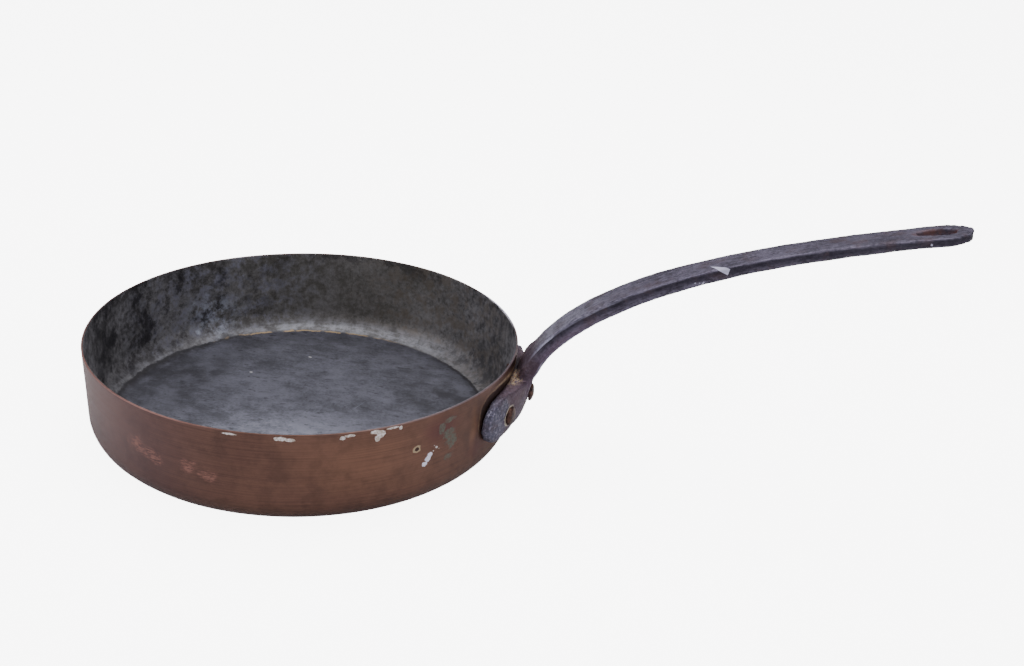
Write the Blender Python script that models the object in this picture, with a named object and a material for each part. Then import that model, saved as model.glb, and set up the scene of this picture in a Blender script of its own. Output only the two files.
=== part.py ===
"""Copper saucepan with a riveted wrought-iron handle.

Frame: the origin is the centre of the base's underside, +Z is up and +X runs out along the handle.
All lengths are in metres.
"""
import math

import bmesh
import bpy
from mathutils import Matrix, Vector

GAP = 0.0003                    # space kept between pieces that touch

# Copper shell
RIM_RADIUS = 0.130
HEIGHT = 0.0582
BASE_RADIUS = 0.1128            # flat underside
CORNER_RADIUS = 0.016           # turn between base and wall
COPPER_THICKNESS = 0.0016
TURN_STEPS = 72                 # facets round the pan
CORNER_STEPS = 6

# Tin lining, wiped over the inside of the copper
TIN_THICKNESS = 0.0004

# Handle bar
BAR_HALF_WIDTHS = (             # (distance from the pan's axis, half the bar's width there)
    (0.137, 0.0126),
    (0.200, 0.0120),
    (0.245, 0.0104),
    (0.335, 0.0101),
    (0.357, 0.0117),
)
BAR_ROOT_THICKNESS = 0.0096
BAR_END_THICKNESS = 0.0052
BAR_EDGE = 0.0008               # chamfer along the bar's four edges
BAR_STEPS = 22
BAR_EDGE_DROP = 0.006           # the chamfer runs this far down past the start of the top line
BAR_TOP_LINE = (                # control points of the top line's curve, seen from the side
    Vector((0.1370, 0.0584)),
    Vector((0.1500, 0.0907)),
    Vector((0.2084, 0.1360)),
    Vector((0.3742, 0.1692)),
)
ROOT_HALF_WIDTH = 0.0112        # where the bar runs down into the boss
ROOT_DROP = 0.008               # the root starts this far below the start of the top line
ROOT_FRONT = (                  # the bar's outer side below its bend, going down into the boss
    Vector((0.1436, 0.0500)),
    Vector((0.1422, 0.0450)),
    Vector((0.1400, 0.0370)),
    Vector((0.1340, 0.0300)),
)
ROOT_BACK = (                   # the bar's wall side, going up; it leaves the wall below the rim
    Vector((0.1250, 0.0300)),
    Vector((0.1300, 0.0420)),
    Vector((0.1332, 0.0490)),
)

# Rounded end with the hanging eye
END_RADIUS_LONG = 0.017         # the end's half ellipse along the bar
EYE_CENTRE = 0.3545
EYE_LONG = 0.0110               # half the eye's length
EYE_WIDE = 0.0050               # half the eye's width
EYE_ROUND_SHARE = 0.7           # share of the half length taken by the round outer end
EYE_TAIL = (                    # the drawn-out tail, as shares of the half length and half width
    (-0.55, 0.62),
    (-0.90, 0.30),
)
EYE_CUT = (0.130, 0.200)        # heights that the eye's cutter spans

# Block that trims the bar in plan
PLAN_START = 0.110
PLAN_SPARE = 0.0010             # how far the block stands clear of the bar's widest part
PLAN_SHOULDER = 0.004           # from the block's full width to the start of the round end
PLAN_TOP = 0.200

# Mounting plate, forged in one with the bar and bent round the wall. Its two outer faces, of the
# thin wings and of the boss under the bar, are turned about upright axes of their own, so that
# both thin towards the lobes. Each face is (distance from that axis, height), bottom to top.
PLATE_STEPS = 120
PLATE_DEPTH = 0.025             # how far each layer reaches in towards its axis before it is trimmed
PLATE_SPAN = (0.100, 0.160)     # distances along X that the outline's block spans
WING_AXIS = 0.016
WING_FACE = (
    (0.1150, 0.0140),
    (0.1180, 0.0190),
    (0.1195, 0.0260),
    (0.1201, 0.0400),
    (0.1201, 0.0500),
)
BOSS_AXIS = 0.095
BOSS_FACE = (
    (0.0370, 0.0140),
    (0.0400, 0.0185),
    (0.0424, 0.0230),
    (0.0441, 0.0285),
    (0.0455, 0.0340),
    (0.0468, 0.0410),
    (0.0474, 0.0500),
)
PLATE_DISCS = (                 # (y, z, radius) of the discs whose common outline the plate fills
    (0.0000, 0.0335, 0.0155),
    (0.0355, 0.0340, 0.0140),
    (-0.0355, 0.0340, 0.0140),
)

# Copper rivets
RIVETS = (                      # name, turn from the handle, height, underside of the outer head
    ("rivet_front", math.radians(-11.3), 0.0325, 0.1360),
    ("rivet_centre", 0.0, 0.0365, 0.1410),
    ("rivet_rear", math.radians(11.3), 0.0325, 0.1360),
)
SHANK_RADIUS = 0.0038
OUTER_HEAD = (0.0056, 0.0028)   # radius and height
INNER_SEAT = 0.1260             # underside of the inner head, from the pan's axis
INNER_HEAD = (0.0075, 0.0016)
HEAD_EDGE_SHARE = 0.25          # share of a head's height that is its upright edge
SPOT_FACE_RADIUS = 0.0066       # flat seat sunk in the plate under each outer head
HOLE_SPAN = (0.110, 0.160)      # distances from the pan's axis that a rivet's hole spans

ENVELOPE_SPARE = 0.004          # how far the pan's envelope stands over the rim


def clear_scene():
    """Remove whatever objects the file starts with."""
    for obj in list(bpy.data.objects):
        bpy.data.objects.remove(obj, do_unlink=True)


def metal(name, colour, roughness):
    """Make a metal material."""
    material = bpy.data.materials.new(name)
    material.use_nodes = True
    shader = material.node_tree.nodes["Principled BSDF"]
    shader.inputs["Base Color"].default_value = (*colour, 1.0)
    shader.inputs["Roughness"].default_value = roughness
    shader.inputs["Metallic"].default_value = 1.0
    return material


def place(name, bm, material=None, smooth_below=35.0):
    """Turn a bmesh into a named object with smooth round faces."""
    bmesh.ops.recalc_face_normals(bm, faces=bm.faces)
    mesh = bpy.data.meshes.new(name)
    bm.to_mesh(mesh)
    bm.free()
    mesh.shade_smooth()
    mesh.set_sharp_from_angle(angle=math.radians(smooth_below))
    obj = bpy.data.objects.new(name, mesh)
    bpy.context.collection.objects.link(obj)
    if material:
        mesh.materials.append(material)
    return obj


def cut(target, tool, operation="DIFFERENCE"):
    """Combine a hidden helper solid with a piece."""
    tool.hide_render = True
    tool.display_type = "WIRE"
    modifier = target.modifiers.new(f"{operation.lower()} {tool.name}", "BOOLEAN")
    modifier.operation = operation
    modifier.solver = "EXACT"
    modifier.object = tool


def turned(profile, steps, closed=False):
    """Spin a line of (radius, height) points round Z.

    An open line starts and ends on the axis; a closed one stands clear of it.
    """
    bm = bmesh.new()
    verts = [bm.verts.new((radius, 0.0, height)) for radius, height in profile]
    edges = [bm.edges.new(pair) for pair in zip(verts, verts[1:])]
    if closed:
        edges.append(bm.edges.new((verts[-1], verts[0])))
    bmesh.ops.spin(
        bm,
        geom=verts + edges,
        cent=(0.0, 0.0, 0.0),
        axis=(0.0, 0.0, 1.0),
        angle=math.tau,
        steps=steps,
        use_merge=True,
    )
    bmesh.ops.remove_doubles(bm, verts=bm.verts, dist=1e-6)
    return bm


def wall_line(depth):
    """Give the pan's profile at a depth inside its outer face, from the base's centre to the rim."""
    line = [(0.0, depth)]
    for step in range(CORNER_STEPS + 1):
        turn = math.pi / 2 * step / CORNER_STEPS
        radius = CORNER_RADIUS - depth
        line.append((BASE_RADIUS + radius * math.sin(turn), CORNER_RADIUS - radius * math.cos(turn)))
    line.append((RIM_RADIUS - depth, HEIGHT))
    return line


def skin(outer_depth, inner_depth):
    """Turn a bowl-shaped skin between two depths of the pan's wall."""
    return turned(wall_line(outer_depth) + wall_line(inner_depth)[::-1], TURN_STEPS)


def wall_envelope():
    """Make the space that the pan takes up, with the gap round it, to shape what hugs the wall."""
    line = wall_line(-GAP)
    top = HEIGHT + ENVELOPE_SPARE
    line += [(line[-1][0], top), (0.0, top)]
    return place("wall_envelope", turned(line, TURN_STEPS))


def curve_point(control, t):
    """Give a point of a cubic curve and the unit vector square to it, on its lower side."""
    a, b, c, d = control
    u = 1.0 - t
    point = u**3 * a + 3 * u * u * t * b + 3 * u * t * t * c + t**3 * d
    along = 3 * u * u * (b - a) + 6 * u * t * (c - b) + 3 * t * t * (d - c)
    along.normalize()
    return point, Vector((along.y, -along.x))


def bar_outline():
    """Give the bar's outline from the side, as (x, z) points."""
    top = []
    bottom = []
    for step in range(BAR_STEPS + 1):
        t = step / BAR_STEPS
        point, down = curve_point(BAR_TOP_LINE, t)
        thickness = BAR_ROOT_THICKNESS + (BAR_END_THICKNESS - BAR_ROOT_THICKNESS) * t
        top.append(point)
        bottom.append(point + down * thickness)
    return list(ROOT_BACK) + top + bottom[::-1] + list(ROOT_FRONT)


def half_width(x):
    """Give half the bar's width at a distance from the pan's axis."""
    near_x, near_half = BAR_HALF_WIDTHS[0]
    for far_x, far_half in BAR_HALF_WIDTHS[1:]:
        if x < far_x:
            share = max(0.0, (x - near_x) / (far_x - near_x))
            share = share * share * (3.0 - 2.0 * share)
            return near_half + share * (far_half - near_half)
        near_x, near_half = far_x, far_half
    return near_half


def bar_body():
    """Extrude the side outline across, chamfer the long edges and draw the sides in to their widths."""
    bm = bmesh.new()
    bend = BAR_TOP_LINE[0]
    side = bm.faces.new([bm.verts.new((point.x, -1.0, point.y)) for point in bar_outline()])
    grown = bmesh.ops.extrude_face_region(bm, geom=[side])["geom"]
    far_verts = [item for item in grown if isinstance(item, bmesh.types.BMVert)]
    bmesh.ops.translate(bm, verts=far_verts, vec=(0.0, 2.0, 0.0))
    for vert in bm.verts:
        in_root = vert.co.z < bend.y - ROOT_DROP
        vert.co.y *= ROOT_HALF_WIDTH if in_root else half_width(vert.co.x)
    bmesh.ops.recalc_face_normals(bm, faces=bm.faces)
    long_edges = [
        edge for edge in bm.edges
        if edge.verts[0].co.y * edge.verts[1].co.y > 0.0
        and min(vert.co.x for vert in edge.verts) > bend.x
        and min(vert.co.z for vert in edge.verts) > bend.y - BAR_EDGE_DROP
    ]
    bmesh.ops.bevel(
        bm, geom=long_edges, offset=BAR_EDGE, segments=1, profile=0.5, affect="EDGES", material=-1
    )
    return bm


def prism(outline, low, high):
    """Make an upright prism on an (x, y) outline between two heights."""
    bm = bmesh.new()
    face = bm.faces.new([bm.verts.new((x, y, low)) for x, y in outline])
    grown = bmesh.ops.extrude_face_region(bm, geom=[face])["geom"]
    top = [item for item in grown if isinstance(item, bmesh.types.BMVert)]
    bmesh.ops.translate(bm, verts=top, vec=(0.0, 0.0, high - low))
    return bm


def half_ellipse(centre, long_radius, wide_radius, steps):
    """Give points round the outer half of an ellipse, from -Y to +Y."""
    points = []
    for step in range(steps + 1):
        turn = math.pi * (step / steps - 0.5)
        points.append((centre + long_radius * math.cos(turn), wide_radius * math.sin(turn)))
    return points


def plan_shape():
    """Make the prism that rounds the bar's far end in plan."""
    half = half_width(BAR_TOP_LINE[-1].x)
    side = BAR_HALF_WIDTHS[0][1] + PLAN_SPARE
    end = BAR_TOP_LINE[-1].x - END_RADIUS_LONG
    shoulder = end - PLAN_SHOULDER
    outline = half_ellipse(end, END_RADIUS_LONG, half, 12)
    outline += [(shoulder, side), (PLAN_START, side), (PLAN_START, -side), (shoulder, -side)]
    return place("plan_shape", prism(outline, 0.0, PLAN_TOP))


def eye_shape():
    """Make the drop-shaped cutter of the hanging eye, longer towards the pan."""
    round_start = EYE_CENTRE + EYE_LONG * (1.0 - EYE_ROUND_SHARE)
    outline = half_ellipse(round_start, EYE_LONG * EYE_ROUND_SHARE, EYE_WIDE, 10)
    tail = [(EYE_CENTRE + EYE_LONG * along, EYE_WIDE * across) for along, across in EYE_TAIL]
    outline += tail + [(x, -y) for x, y in tail[::-1]]
    return place("eye_shape", prism(outline, *EYE_CUT))


def plate_outline():
    """Make the block that gives the plate its rounded three-lobed outline, seen along X."""
    bm = bmesh.new()
    for y, z, radius in PLATE_DISCS:
        for x in PLATE_SPAN:
            spot = Matrix.Translation((x, y, z)) @ Matrix.Rotation(math.pi / 2, 4, "Y")
            bmesh.ops.create_circle(bm, cap_ends=False, segments=32, radius=radius, matrix=spot)
    hull = bmesh.ops.convex_hull(bm, input=bm.verts)
    inside = [item for item in hull["geom_interior"] if isinstance(item, bmesh.types.BMVert)]
    bmesh.ops.delete(bm, geom=inside, context="VERTS")
    loose = [e for e in bm.edges if not e.link_faces]
    bmesh.ops.delete(bm, geom=loose, context="EDGES")
    bmesh.ops.dissolve_limit(bm, angle_limit=0.001, verts=bm.verts, edges=bm.edges)
    return place("plate_outline", bm)


def plate_layer(name, axis_x, face, outline):
    """Make one layer of the plate: a thick ring with a shaped outer face, cut to the outline."""
    inner = face[0][0] - PLATE_DEPTH
    profile = list(face) + [(inner, face[-1][1]), (inner, face[0][1])]
    bm = turned(profile, PLATE_STEPS, closed=True)
    bmesh.ops.translate(bm, verts=bm.verts, vec=(axis_x, 0.0, 0.0))
    obj = place(name, bm)
    cut(obj, outline, "INTERSECT")
    return obj


def rivet_frame(turn, height):
    """Give the frame of a rivet: its Z runs outwards from the pan's axis."""
    return (
        Matrix.Rotation(turn, 4, "Z")
        @ Matrix.Translation((0.0, 0.0, height))
        @ Matrix.Rotation(math.pi / 2, 4, "Y")
    )


def dome(seat, radius, height, direction, steps=5):
    """Give the (radius, height) points of a low domed rivet head, from its rim to its crown."""
    points = []
    for step in range(steps + 1):
        turn = math.pi / 2 * step / steps
        rise = HEAD_EDGE_SHARE + (1.0 - HEAD_EDGE_SHARE) * math.sin(turn)
        points.append((radius * math.cos(turn), seat + direction * height * rise))
    points[-1] = (0.0, points[-1][1])
    return [(radius, seat)] + points


def rivet(name, frame, seat, material):
    """Make a rivet with a domed head outside and a broad flat one inside."""
    inner = dome(INNER_SEAT, *INNER_HEAD, -1.0)[::-1]
    outer = dome(seat, *OUTER_HEAD, 1.0)
    profile = inner + [(SHANK_RADIUS, INNER_SEAT), (SHANK_RADIUS, seat)] + outer
    obj = place(name, turned(profile, 24), material)
    obj.matrix_world = frame
    return obj


def rivet_cutter(name, frame, radius, start, end):
    """Make a round cutter on a rivet's axis, between two distances from the pan's axis."""
    bm = bmesh.new()
    bmesh.ops.create_cone(
        bm,
        cap_ends=True,
        segments=24,
        radius1=radius,
        radius2=radius,
        depth=end - start,
        matrix=frame @ Matrix.Translation((0.0, 0.0, (start + end) / 2)),
    )
    return place(name, bm)


def build():
    """Make every piece of the saucepan."""
    clear_scene()
    copper = metal("copper", (0.36, 0.19, 0.13), 0.42)
    tin = metal("tin", (0.30, 0.29, 0.30), 0.40)
    iron = metal("iron", (0.14, 0.13, 0.15), 0.55)
    rivet_copper = metal("rivet_copper", (0.34, 0.20, 0.13), 0.45)

    tin_start = COPPER_THICKNESS + GAP
    pan_body = place("pan_body", skin(0.0, COPPER_THICKNESS), copper)
    tin_lining = place("tin_lining", skin(tin_start, tin_start + TIN_THICKNESS), tin)
    handle = place("handle", bar_body(), iron)
    cut(handle, plan_shape(), "INTERSECT")
    outline = plate_outline()
    cut(handle, plate_layer("wings", WING_AXIS, WING_FACE, outline), "UNION")
    cut(handle, plate_layer("boss", BOSS_AXIS, BOSS_FACE, outline), "UNION")
    cut(handle, wall_envelope())
    cut(handle, eye_shape())

    for name, turn, height, seat in RIVETS:
        frame = rivet_frame(turn, height)
        rivet(name, frame, seat, rivet_copper)
        hole = rivet_cutter(f"{name}_hole", frame, SHANK_RADIUS + GAP, *HOLE_SPAN)
        for piece in (pan_body, tin_lining, handle):
            cut(piece, hole)
        spot_face = rivet_cutter(f"{name}_seat", frame, SPOT_FACE_RADIUS, seat - GAP, HOLE_SPAN[1])
        cut(handle, spot_face)


build()
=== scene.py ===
"""Copper saucepan: finished pieces, metals, studio and camera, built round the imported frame.

Every length is in metres. The frame stands the pan on z = 0 with its axis on Z and its handle
along +X.
"""
from __future__ import annotations

import logging
import math
from collections.abc import Callable, Iterable, Sequence
from dataclasses import dataclass, field
from enum import Enum

import bmesh
import bpy
from mathutils import Matrix, Vector, kdtree, noise


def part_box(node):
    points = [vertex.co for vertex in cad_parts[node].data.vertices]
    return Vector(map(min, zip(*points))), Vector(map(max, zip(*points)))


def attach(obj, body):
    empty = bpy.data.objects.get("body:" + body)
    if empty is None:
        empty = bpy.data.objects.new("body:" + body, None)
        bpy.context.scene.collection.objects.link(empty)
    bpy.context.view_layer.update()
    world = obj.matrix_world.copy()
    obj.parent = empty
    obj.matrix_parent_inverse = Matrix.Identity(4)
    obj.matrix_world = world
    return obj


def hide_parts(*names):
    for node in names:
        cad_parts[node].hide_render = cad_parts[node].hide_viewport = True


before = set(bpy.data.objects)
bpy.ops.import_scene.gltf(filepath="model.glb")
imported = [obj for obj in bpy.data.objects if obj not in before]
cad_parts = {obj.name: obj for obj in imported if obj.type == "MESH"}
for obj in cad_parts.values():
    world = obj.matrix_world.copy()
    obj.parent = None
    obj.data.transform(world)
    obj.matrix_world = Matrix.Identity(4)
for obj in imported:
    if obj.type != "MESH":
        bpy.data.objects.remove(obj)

log = logging.getLogger("saucepan")

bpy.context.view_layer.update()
MM = 0.001
MILLIMETRES = 1000.0          # in a metre
OUTER_FACE = 0.5 * MM         # how far inside the rim's outline the wall's two faces lie
INNER_FACE = 3.0 * MM
TINY = 1e-6

Colour = tuple[float, float, float]
WHITE: Colour = (1.0, 1.0, 1.0)


def paint(red: int, green: int, blue: int) -> Colour:
    """Turn display values from 0 to 255 into a linear colour.

    Args:
        red: Red, as a display shows it.
        green: Green.
        blue: Blue.

    Returns:
        The linear colour.
    """
    def linear(value: int) -> float:
        """Turn one display value into a linear one, by the sRGB curve."""
        share = value / 255.0
        return share / 12.92 if share <= 0.04045 else ((share + 0.055) / 1.055) ** 2.4

    return (linear(red), linear(green), linear(blue))


def share_between(value: float, low: float, high: float) -> float:
    """Say how far a value is on its way from low to high, kept within 0 and 1."""
    return min(1.0, max(0.0, (value - low) / (high - low)))


def ease(value: float, low: float, high: float) -> float:
    """Rise smoothly from 0 at low to 1 at high; low may be the larger."""
    share = share_between(value, low, high)
    return share * share * (3.0 - 2.0 * share)


# ------------------------------------------------------------------------------------------
# Node graphs
# ------------------------------------------------------------------------------------------

class Graph:
    """A node tree with short ways to add and join nodes."""

    def __init__(self, tree: bpy.types.NodeTree) -> None:
        """Keep the tree."""
        self.tree = tree

    def node(self, kind: str, **settings: object) -> bpy.types.Node:
        """Add a node and set its properties.

        Args:
            kind: The node's type.
            settings: Its properties by name.

        Returns:
            The node.
        """
        made = self.tree.nodes.new(kind)
        for name, value in settings.items():
            setattr(made, name, value)
        return made

    def feed(self, socket: bpy.types.NodeSocket, value: object) -> None:
        """Join an output to an input, or set the input's own value.

        Args:
            socket: The input.
            value: An output, a number, a vector or a colour.
        """
        if isinstance(value, bpy.types.NodeSocket):
            self.tree.links.new(value, socket)
        elif isinstance(value, (tuple, list)) and len(value) == 3 and socket.type == "RGBA":
            socket.default_value = (*value, 1.0)
        else:
            socket.default_value = value

    def maths(self, operation: str, *values: object) -> bpy.types.NodeSocket:
        """Work out a number from one to three numbers.

        Args:
            operation: What to do with them.
            values: The numbers, or outputs that give them.

        Returns:
            The result.
        """
        made = self.node("ShaderNodeMath", operation=operation)
        for socket, value in zip(made.inputs, values):
            self.feed(socket, value)
        return made.outputs[0]

    def times(self, first: object, second: object) -> bpy.types.NodeSocket:
        """Multiply two numbers."""
        return self.maths("MULTIPLY", first, second)

    def plus(self, first: object, second: object) -> bpy.types.NodeSocket:
        """Add two numbers."""
        return self.maths("ADD", first, second)

    def minus(self, first: object, second: object) -> bpy.types.NodeSocket:
        """Take the second number from the first."""
        return self.maths("SUBTRACT", first, second)

    def most(self, first: object, second: object) -> bpy.types.NodeSocket:
        """Give the larger of two numbers."""
        return self.maths("MAXIMUM", first, second)

    def parts(self, vector: object) -> bpy.types.NodeOutputs:
        """Split a vector.

        Args:
            vector: The vector.

        Returns:
            Its parts, called X, Y and Z.
        """
        made = self.node("ShaderNodeSeparateXYZ")
        self.feed(made.inputs[0], vector)
        return made.outputs

    def vector(self, operation: str, *values: object) -> bpy.types.NodeSocket:
        """Work out a vector, or a length, from vectors.

        Args:
            operation: What to do with them.
            values: The vectors, or outputs that give them.

        Returns:
            The result.
        """
        made = self.node("ShaderNodeVectorMath", operation=operation)
        for socket, value in zip(made.inputs, values):
            self.feed(socket, value)
        return made.outputs["Value" if operation in ("LENGTH", "DISTANCE") else "Vector"]

    def noise(self, vector: object, scale: object, detail: float = 4.0,
              rough: float = 0.55) -> bpy.types.NodeSocket:
        """Add a noise texture.

        Args:
            vector: Where it is read.
            scale: Features per metre.
            detail: Octaves.
            rough: How strong the finer octaves are.

        Returns:
            The noise, about 0.2 to 0.8.
        """
        made = self.node("ShaderNodeTexNoise")
        self.feed(made.inputs["Vector"], vector)
        self.feed(made.inputs["Scale"], scale)
        self.feed(made.inputs["Detail"], detail)
        self.feed(made.inputs["Roughness"], rough)
        return made.outputs["Fac"]

    def step(self, value: object, low: float, high: float) -> bpy.types.NodeSocket:
        """Ramp smoothly from 0 at low to 1 at high.

        Args:
            value: The number that drives the ramp.
            low: Where it is 0.
            high: Where it is 1; it may be less than low.

        Returns:
            The ramp.
        """
        made = self.node("ShaderNodeMapRange", interpolation_type="SMOOTHSTEP", clamp=True)
        turned_round = low > high
        self.feed(made.inputs["Value"], value)
        self.feed(made.inputs["From Min"], high if turned_round else low)
        self.feed(made.inputs["From Max"], low if turned_round else high)
        self.feed(made.inputs["To Min"], 1.0 if turned_round else 0.0)
        self.feed(made.inputs["To Max"], 0.0 if turned_round else 1.0)
        return made.outputs["Result"]

    def beside(self, across: object, up: object, first: tuple[float, float],
               second: tuple[float, float]) -> bpy.types.NodeSocket:
        """Measure how far a point lies to the left of a line.

        Args:
            across: The point's first coordinate.
            up: Its second.
            first: Where the line starts.
            second: Where it ends.

        Returns:
            The distance, less than 0 on the right.
        """
        run, rise = second[0] - first[0], second[1] - first[1]
        length = math.hypot(run, rise)
        offset = (rise * first[0] - run * first[1]) / length
        sideways = self.maths("MULTIPLY_ADD", across, -rise / length, offset)
        return self.maths("MULTIPLY_ADD", up, run / length, sideways)

    def scale_to(self, value: object, low: float, high: float) -> bpy.types.NodeSocket:
        """Spread a mask from 0..1 over low..high."""
        return self.maths("MULTIPLY_ADD", value, high - low, low)

    def mix(self, mask: object, first: object, second: object) -> bpy.types.NodeSocket:
        """Mix two colours.

        Args:
            mask: 0 for all of the first, 1 for all of the second.
            first: The first colour.
            second: The second.

        Returns:
            The mixed colour.
        """
        made = self.node("ShaderNodeMix", data_type="RGBA", clamp_factor=True)
        self.feed(made.inputs[0], mask)
        self.feed(made.inputs[6], first)
        self.feed(made.inputs[7], second)
        return made.outputs[2]

    def cover(self, base: object, top: object, mask: object, share: float = 1.0
              ) -> bpy.types.NodeSocket:
        """Lay one colour over another.

        Args:
            base: The colour below.
            top: The colour laid over it.
            mask: Where it is laid, 0 to 1.
            share: How strongly, at most.

        Returns:
            The new colour.
        """
        return self.mix(mask if share == 1.0 else self.times(mask, share), base, top)

    def place(self, group: bpy.types.NodeTree, **values: object) -> bpy.types.Node:
        """Place a shared group.

        Args:
            group: The group.
            values: Its inputs by name, with an underscore for each space.

        Returns:
            The placed node.
        """
        made = self.node("ShaderNodeGroup", node_tree=group)
        for name, value in values.items():
            self.feed(made.inputs[name.replace("_", " ")], value)
        return made


class SocketKind(Enum):
    """The kinds of socket a shared group has."""

    NUMBER = "NodeSocketFloat"
    VECTOR = "NodeSocketVector"


def new_group(name: str, inputs: dict[str, SocketKind], outputs: dict[str, SocketKind]
              ) -> tuple[Graph, bpy.types.NodeTree, bpy.types.Node, bpy.types.Node]:
    """Make an empty node group with named sockets.

    Args:
        name: The group's name.
        inputs: Its inputs, in order.
        outputs: Its outputs, in order.

    Returns:
        Its graph, its tree, its input node and its output node.
    """
    tree = bpy.data.node_groups.new(name, "ShaderNodeTree")
    for label, kind in inputs.items():
        tree.interface.new_socket(name=label, in_out="INPUT", socket_type=kind.value)
    for label, kind in outputs.items():
        tree.interface.new_socket(name=label, in_out="OUTPUT", socket_type=kind.value)
    graph = Graph(tree)
    return graph, tree, graph.node("NodeGroupInput"), graph.node("NodeGroupOutput")


class SharedEffects:
    """The node groups that several metals use."""

    SCRATCH_LAYERS = ((0.5, 0.0), (-0.9, 3.7), (1.9, 8.1))     # turn in radians, and shift
    SCRATCH_STRETCH = (0.035, 1.0, 0.5)

    def __init__(self) -> None:
        """Build each group once."""
        self.turned = self._turned_place()
        self.spot = self._ragged_spot()
        self.bearing = self._bearing()
        self.lathe_marks = self._lathe_marks()
        self.scratches = self._scratches()
        self.mottle = self._mottle()

    @staticmethod
    def _turned_place() -> bpy.types.NodeTree:
        """Give a point's radius and height in millimetres, and its direction from the axis.

        Returns:
            The group.
        """
        number, vector = SocketKind.NUMBER, SocketKind.VECTOR
        g, tree, given, out = new_group(
            "turned place", {"Vector": vector},
            {"Radius": number, "Height": number, "Sweep": vector})
        flat = g.vector("MULTIPLY", given.outputs["Vector"], (1.0, 1.0, 0.0))
        rise = g.parts(given.outputs["Vector"])["Z"]
        g.feed(out.inputs["Radius"], g.times(g.vector("LENGTH", flat), MILLIMETRES))
        g.feed(out.inputs["Height"], g.times(rise, MILLIMETRES))
        g.feed(out.inputs["Sweep"], g.vector("NORMALIZE", flat))
        return tree

    @staticmethod
    def _ragged_spot() -> bpy.types.NodeTree:
        """Mask a spot with a ragged edge round a point.

        Returns:
            The group.
        """
        number, vector = SocketKind.NUMBER, SocketKind.VECTOR
        g, tree, given, out = new_group(
            "ragged spot",
            {"Vector": vector, "Centre": vector, "Size": vector, "Ragged": number,
             "Grain": number, "Soft": number},
            {"Mask": number})
        offset = g.vector("SUBTRACT", given.outputs["Vector"], given.outputs["Centre"])
        distance = g.vector("LENGTH", g.vector("DIVIDE", offset, given.outputs["Size"]))
        fray = g.minus(g.noise(given.outputs["Vector"], given.outputs["Grain"]), 0.5)
        reach = g.maths("MULTIPLY_ADD", fray, given.outputs["Ragged"], distance)
        inside = g.maths("DIVIDE", g.minus(1.0, reach), given.outputs["Soft"])
        g.feed(out.inputs["Mask"], g.step(inside, 0.0, 1.0))
        return tree

    @staticmethod
    def _bearing() -> bpy.types.NodeTree:
        """Mask a sector of the pan round a bearing, in degrees from the handle.

        Returns:
            The group.
        """
        number, vector = SocketKind.NUMBER, SocketKind.VECTOR
        g, tree, given, out = new_group(
            "bearing", {"Sweep": vector, "Bearing": number, "Half Width": number},
            {"Mask": number})
        angle = g.maths("RADIANS", given.outputs["Bearing"])
        pointer = g.node("ShaderNodeCombineXYZ")
        g.feed(pointer.inputs["X"], g.maths("COSINE", angle))
        g.feed(pointer.inputs["Y"], g.maths("SINE", angle))
        dot = g.node("ShaderNodeVectorMath", operation="DOT_PRODUCT")
        g.feed(dot.inputs[0], given.outputs["Sweep"])
        g.feed(dot.inputs[1], pointer.outputs[0])
        away = g.maths("DEGREES", g.maths("ARCCOSINE", dot.outputs["Value"]))
        share = g.maths("DIVIDE", away, given.outputs["Half Width"])
        g.feed(out.inputs["Mask"], g.step(share, 1.0, 0.25))
        return tree

    @staticmethod
    def _lathe_marks() -> bpy.types.NodeTree:
        """Make fine lines that run round the pan.

        Returns:
            The group.
        """
        number, vector = SocketKind.NUMBER, SocketKind.VECTOR
        g, tree, given, out = new_group(
            "lathe marks",
            {"Sweep": vector, "Across": number, "Along": number, "Lines": number},
            {"Value": number})
        place = g.node("ShaderNodeCombineXYZ")
        around = g.parts(given.outputs["Sweep"])
        for axis in ("X", "Y"):
            g.feed(place.inputs[axis], g.times(around[axis], given.outputs["Along"]))
        g.feed(place.inputs["Z"], g.times(given.outputs["Across"], given.outputs["Lines"]))
        lines = g.noise(place.outputs[0], scale=1.0, detail=5.0, rough=0.65)
        g.feed(out.inputs["Value"], lines)
        return tree

    @classmethod
    def _scratches(cls) -> bpy.types.NodeTree:
        """Mask long thin scratches that lie in three directions.

        Returns:
            The group.
        """
        number, vector = SocketKind.NUMBER, SocketKind.VECTOR
        g, tree, given, out = new_group(
            "scratches", {"Vector": vector, "Fine": number, "Amount": number},
            {"Mask": number})
        layers = []
        for turn, seed in cls.SCRATCH_LAYERS:
            turned = g.node("ShaderNodeVectorRotate", rotation_type="Z_AXIS")
            g.feed(turned.inputs["Vector"], given.outputs["Vector"])
            g.feed(turned.inputs["Angle"], turn)
            drawn = g.vector("MULTIPLY", turned.outputs[0], cls.SCRATCH_STRETCH)
            shifted = g.vector("ADD", drawn, (seed,) * 3)
            layers.append(g.noise(shifted, given.outputs["Fine"], detail=2.0, rough=0.6))
        top = g.most(layers[0], g.most(layers[1], layers[2]))
        limit = g.minus(0.86, g.times(given.outputs["Amount"], 0.2))
        g.feed(out.inputs["Mask"], g.step(g.minus(top, limit), 0.0, 0.06))
        return tree

    @staticmethod
    def _mottle() -> bpy.types.NodeTree:
        """Make a cloudy mask whose cover and softness can be set.

        Returns:
            The group.
        """
        number, vector = SocketKind.NUMBER, SocketKind.VECTOR
        g, tree, given, out = new_group(
            "mottle",
            {"Vector": vector, "Scale": number, "Threshold": number, "Soft": number},
            {"Mask": number})
        cloud = g.noise(given.outputs["Vector"], given.outputs["Scale"], detail=6.0, rough=0.6)
        share = g.maths("DIVIDE", g.minus(cloud, given.outputs["Threshold"]), given.outputs["Soft"])
        g.feed(out.inputs["Mask"], g.step(share, -0.5, 0.5))
        return tree


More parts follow.
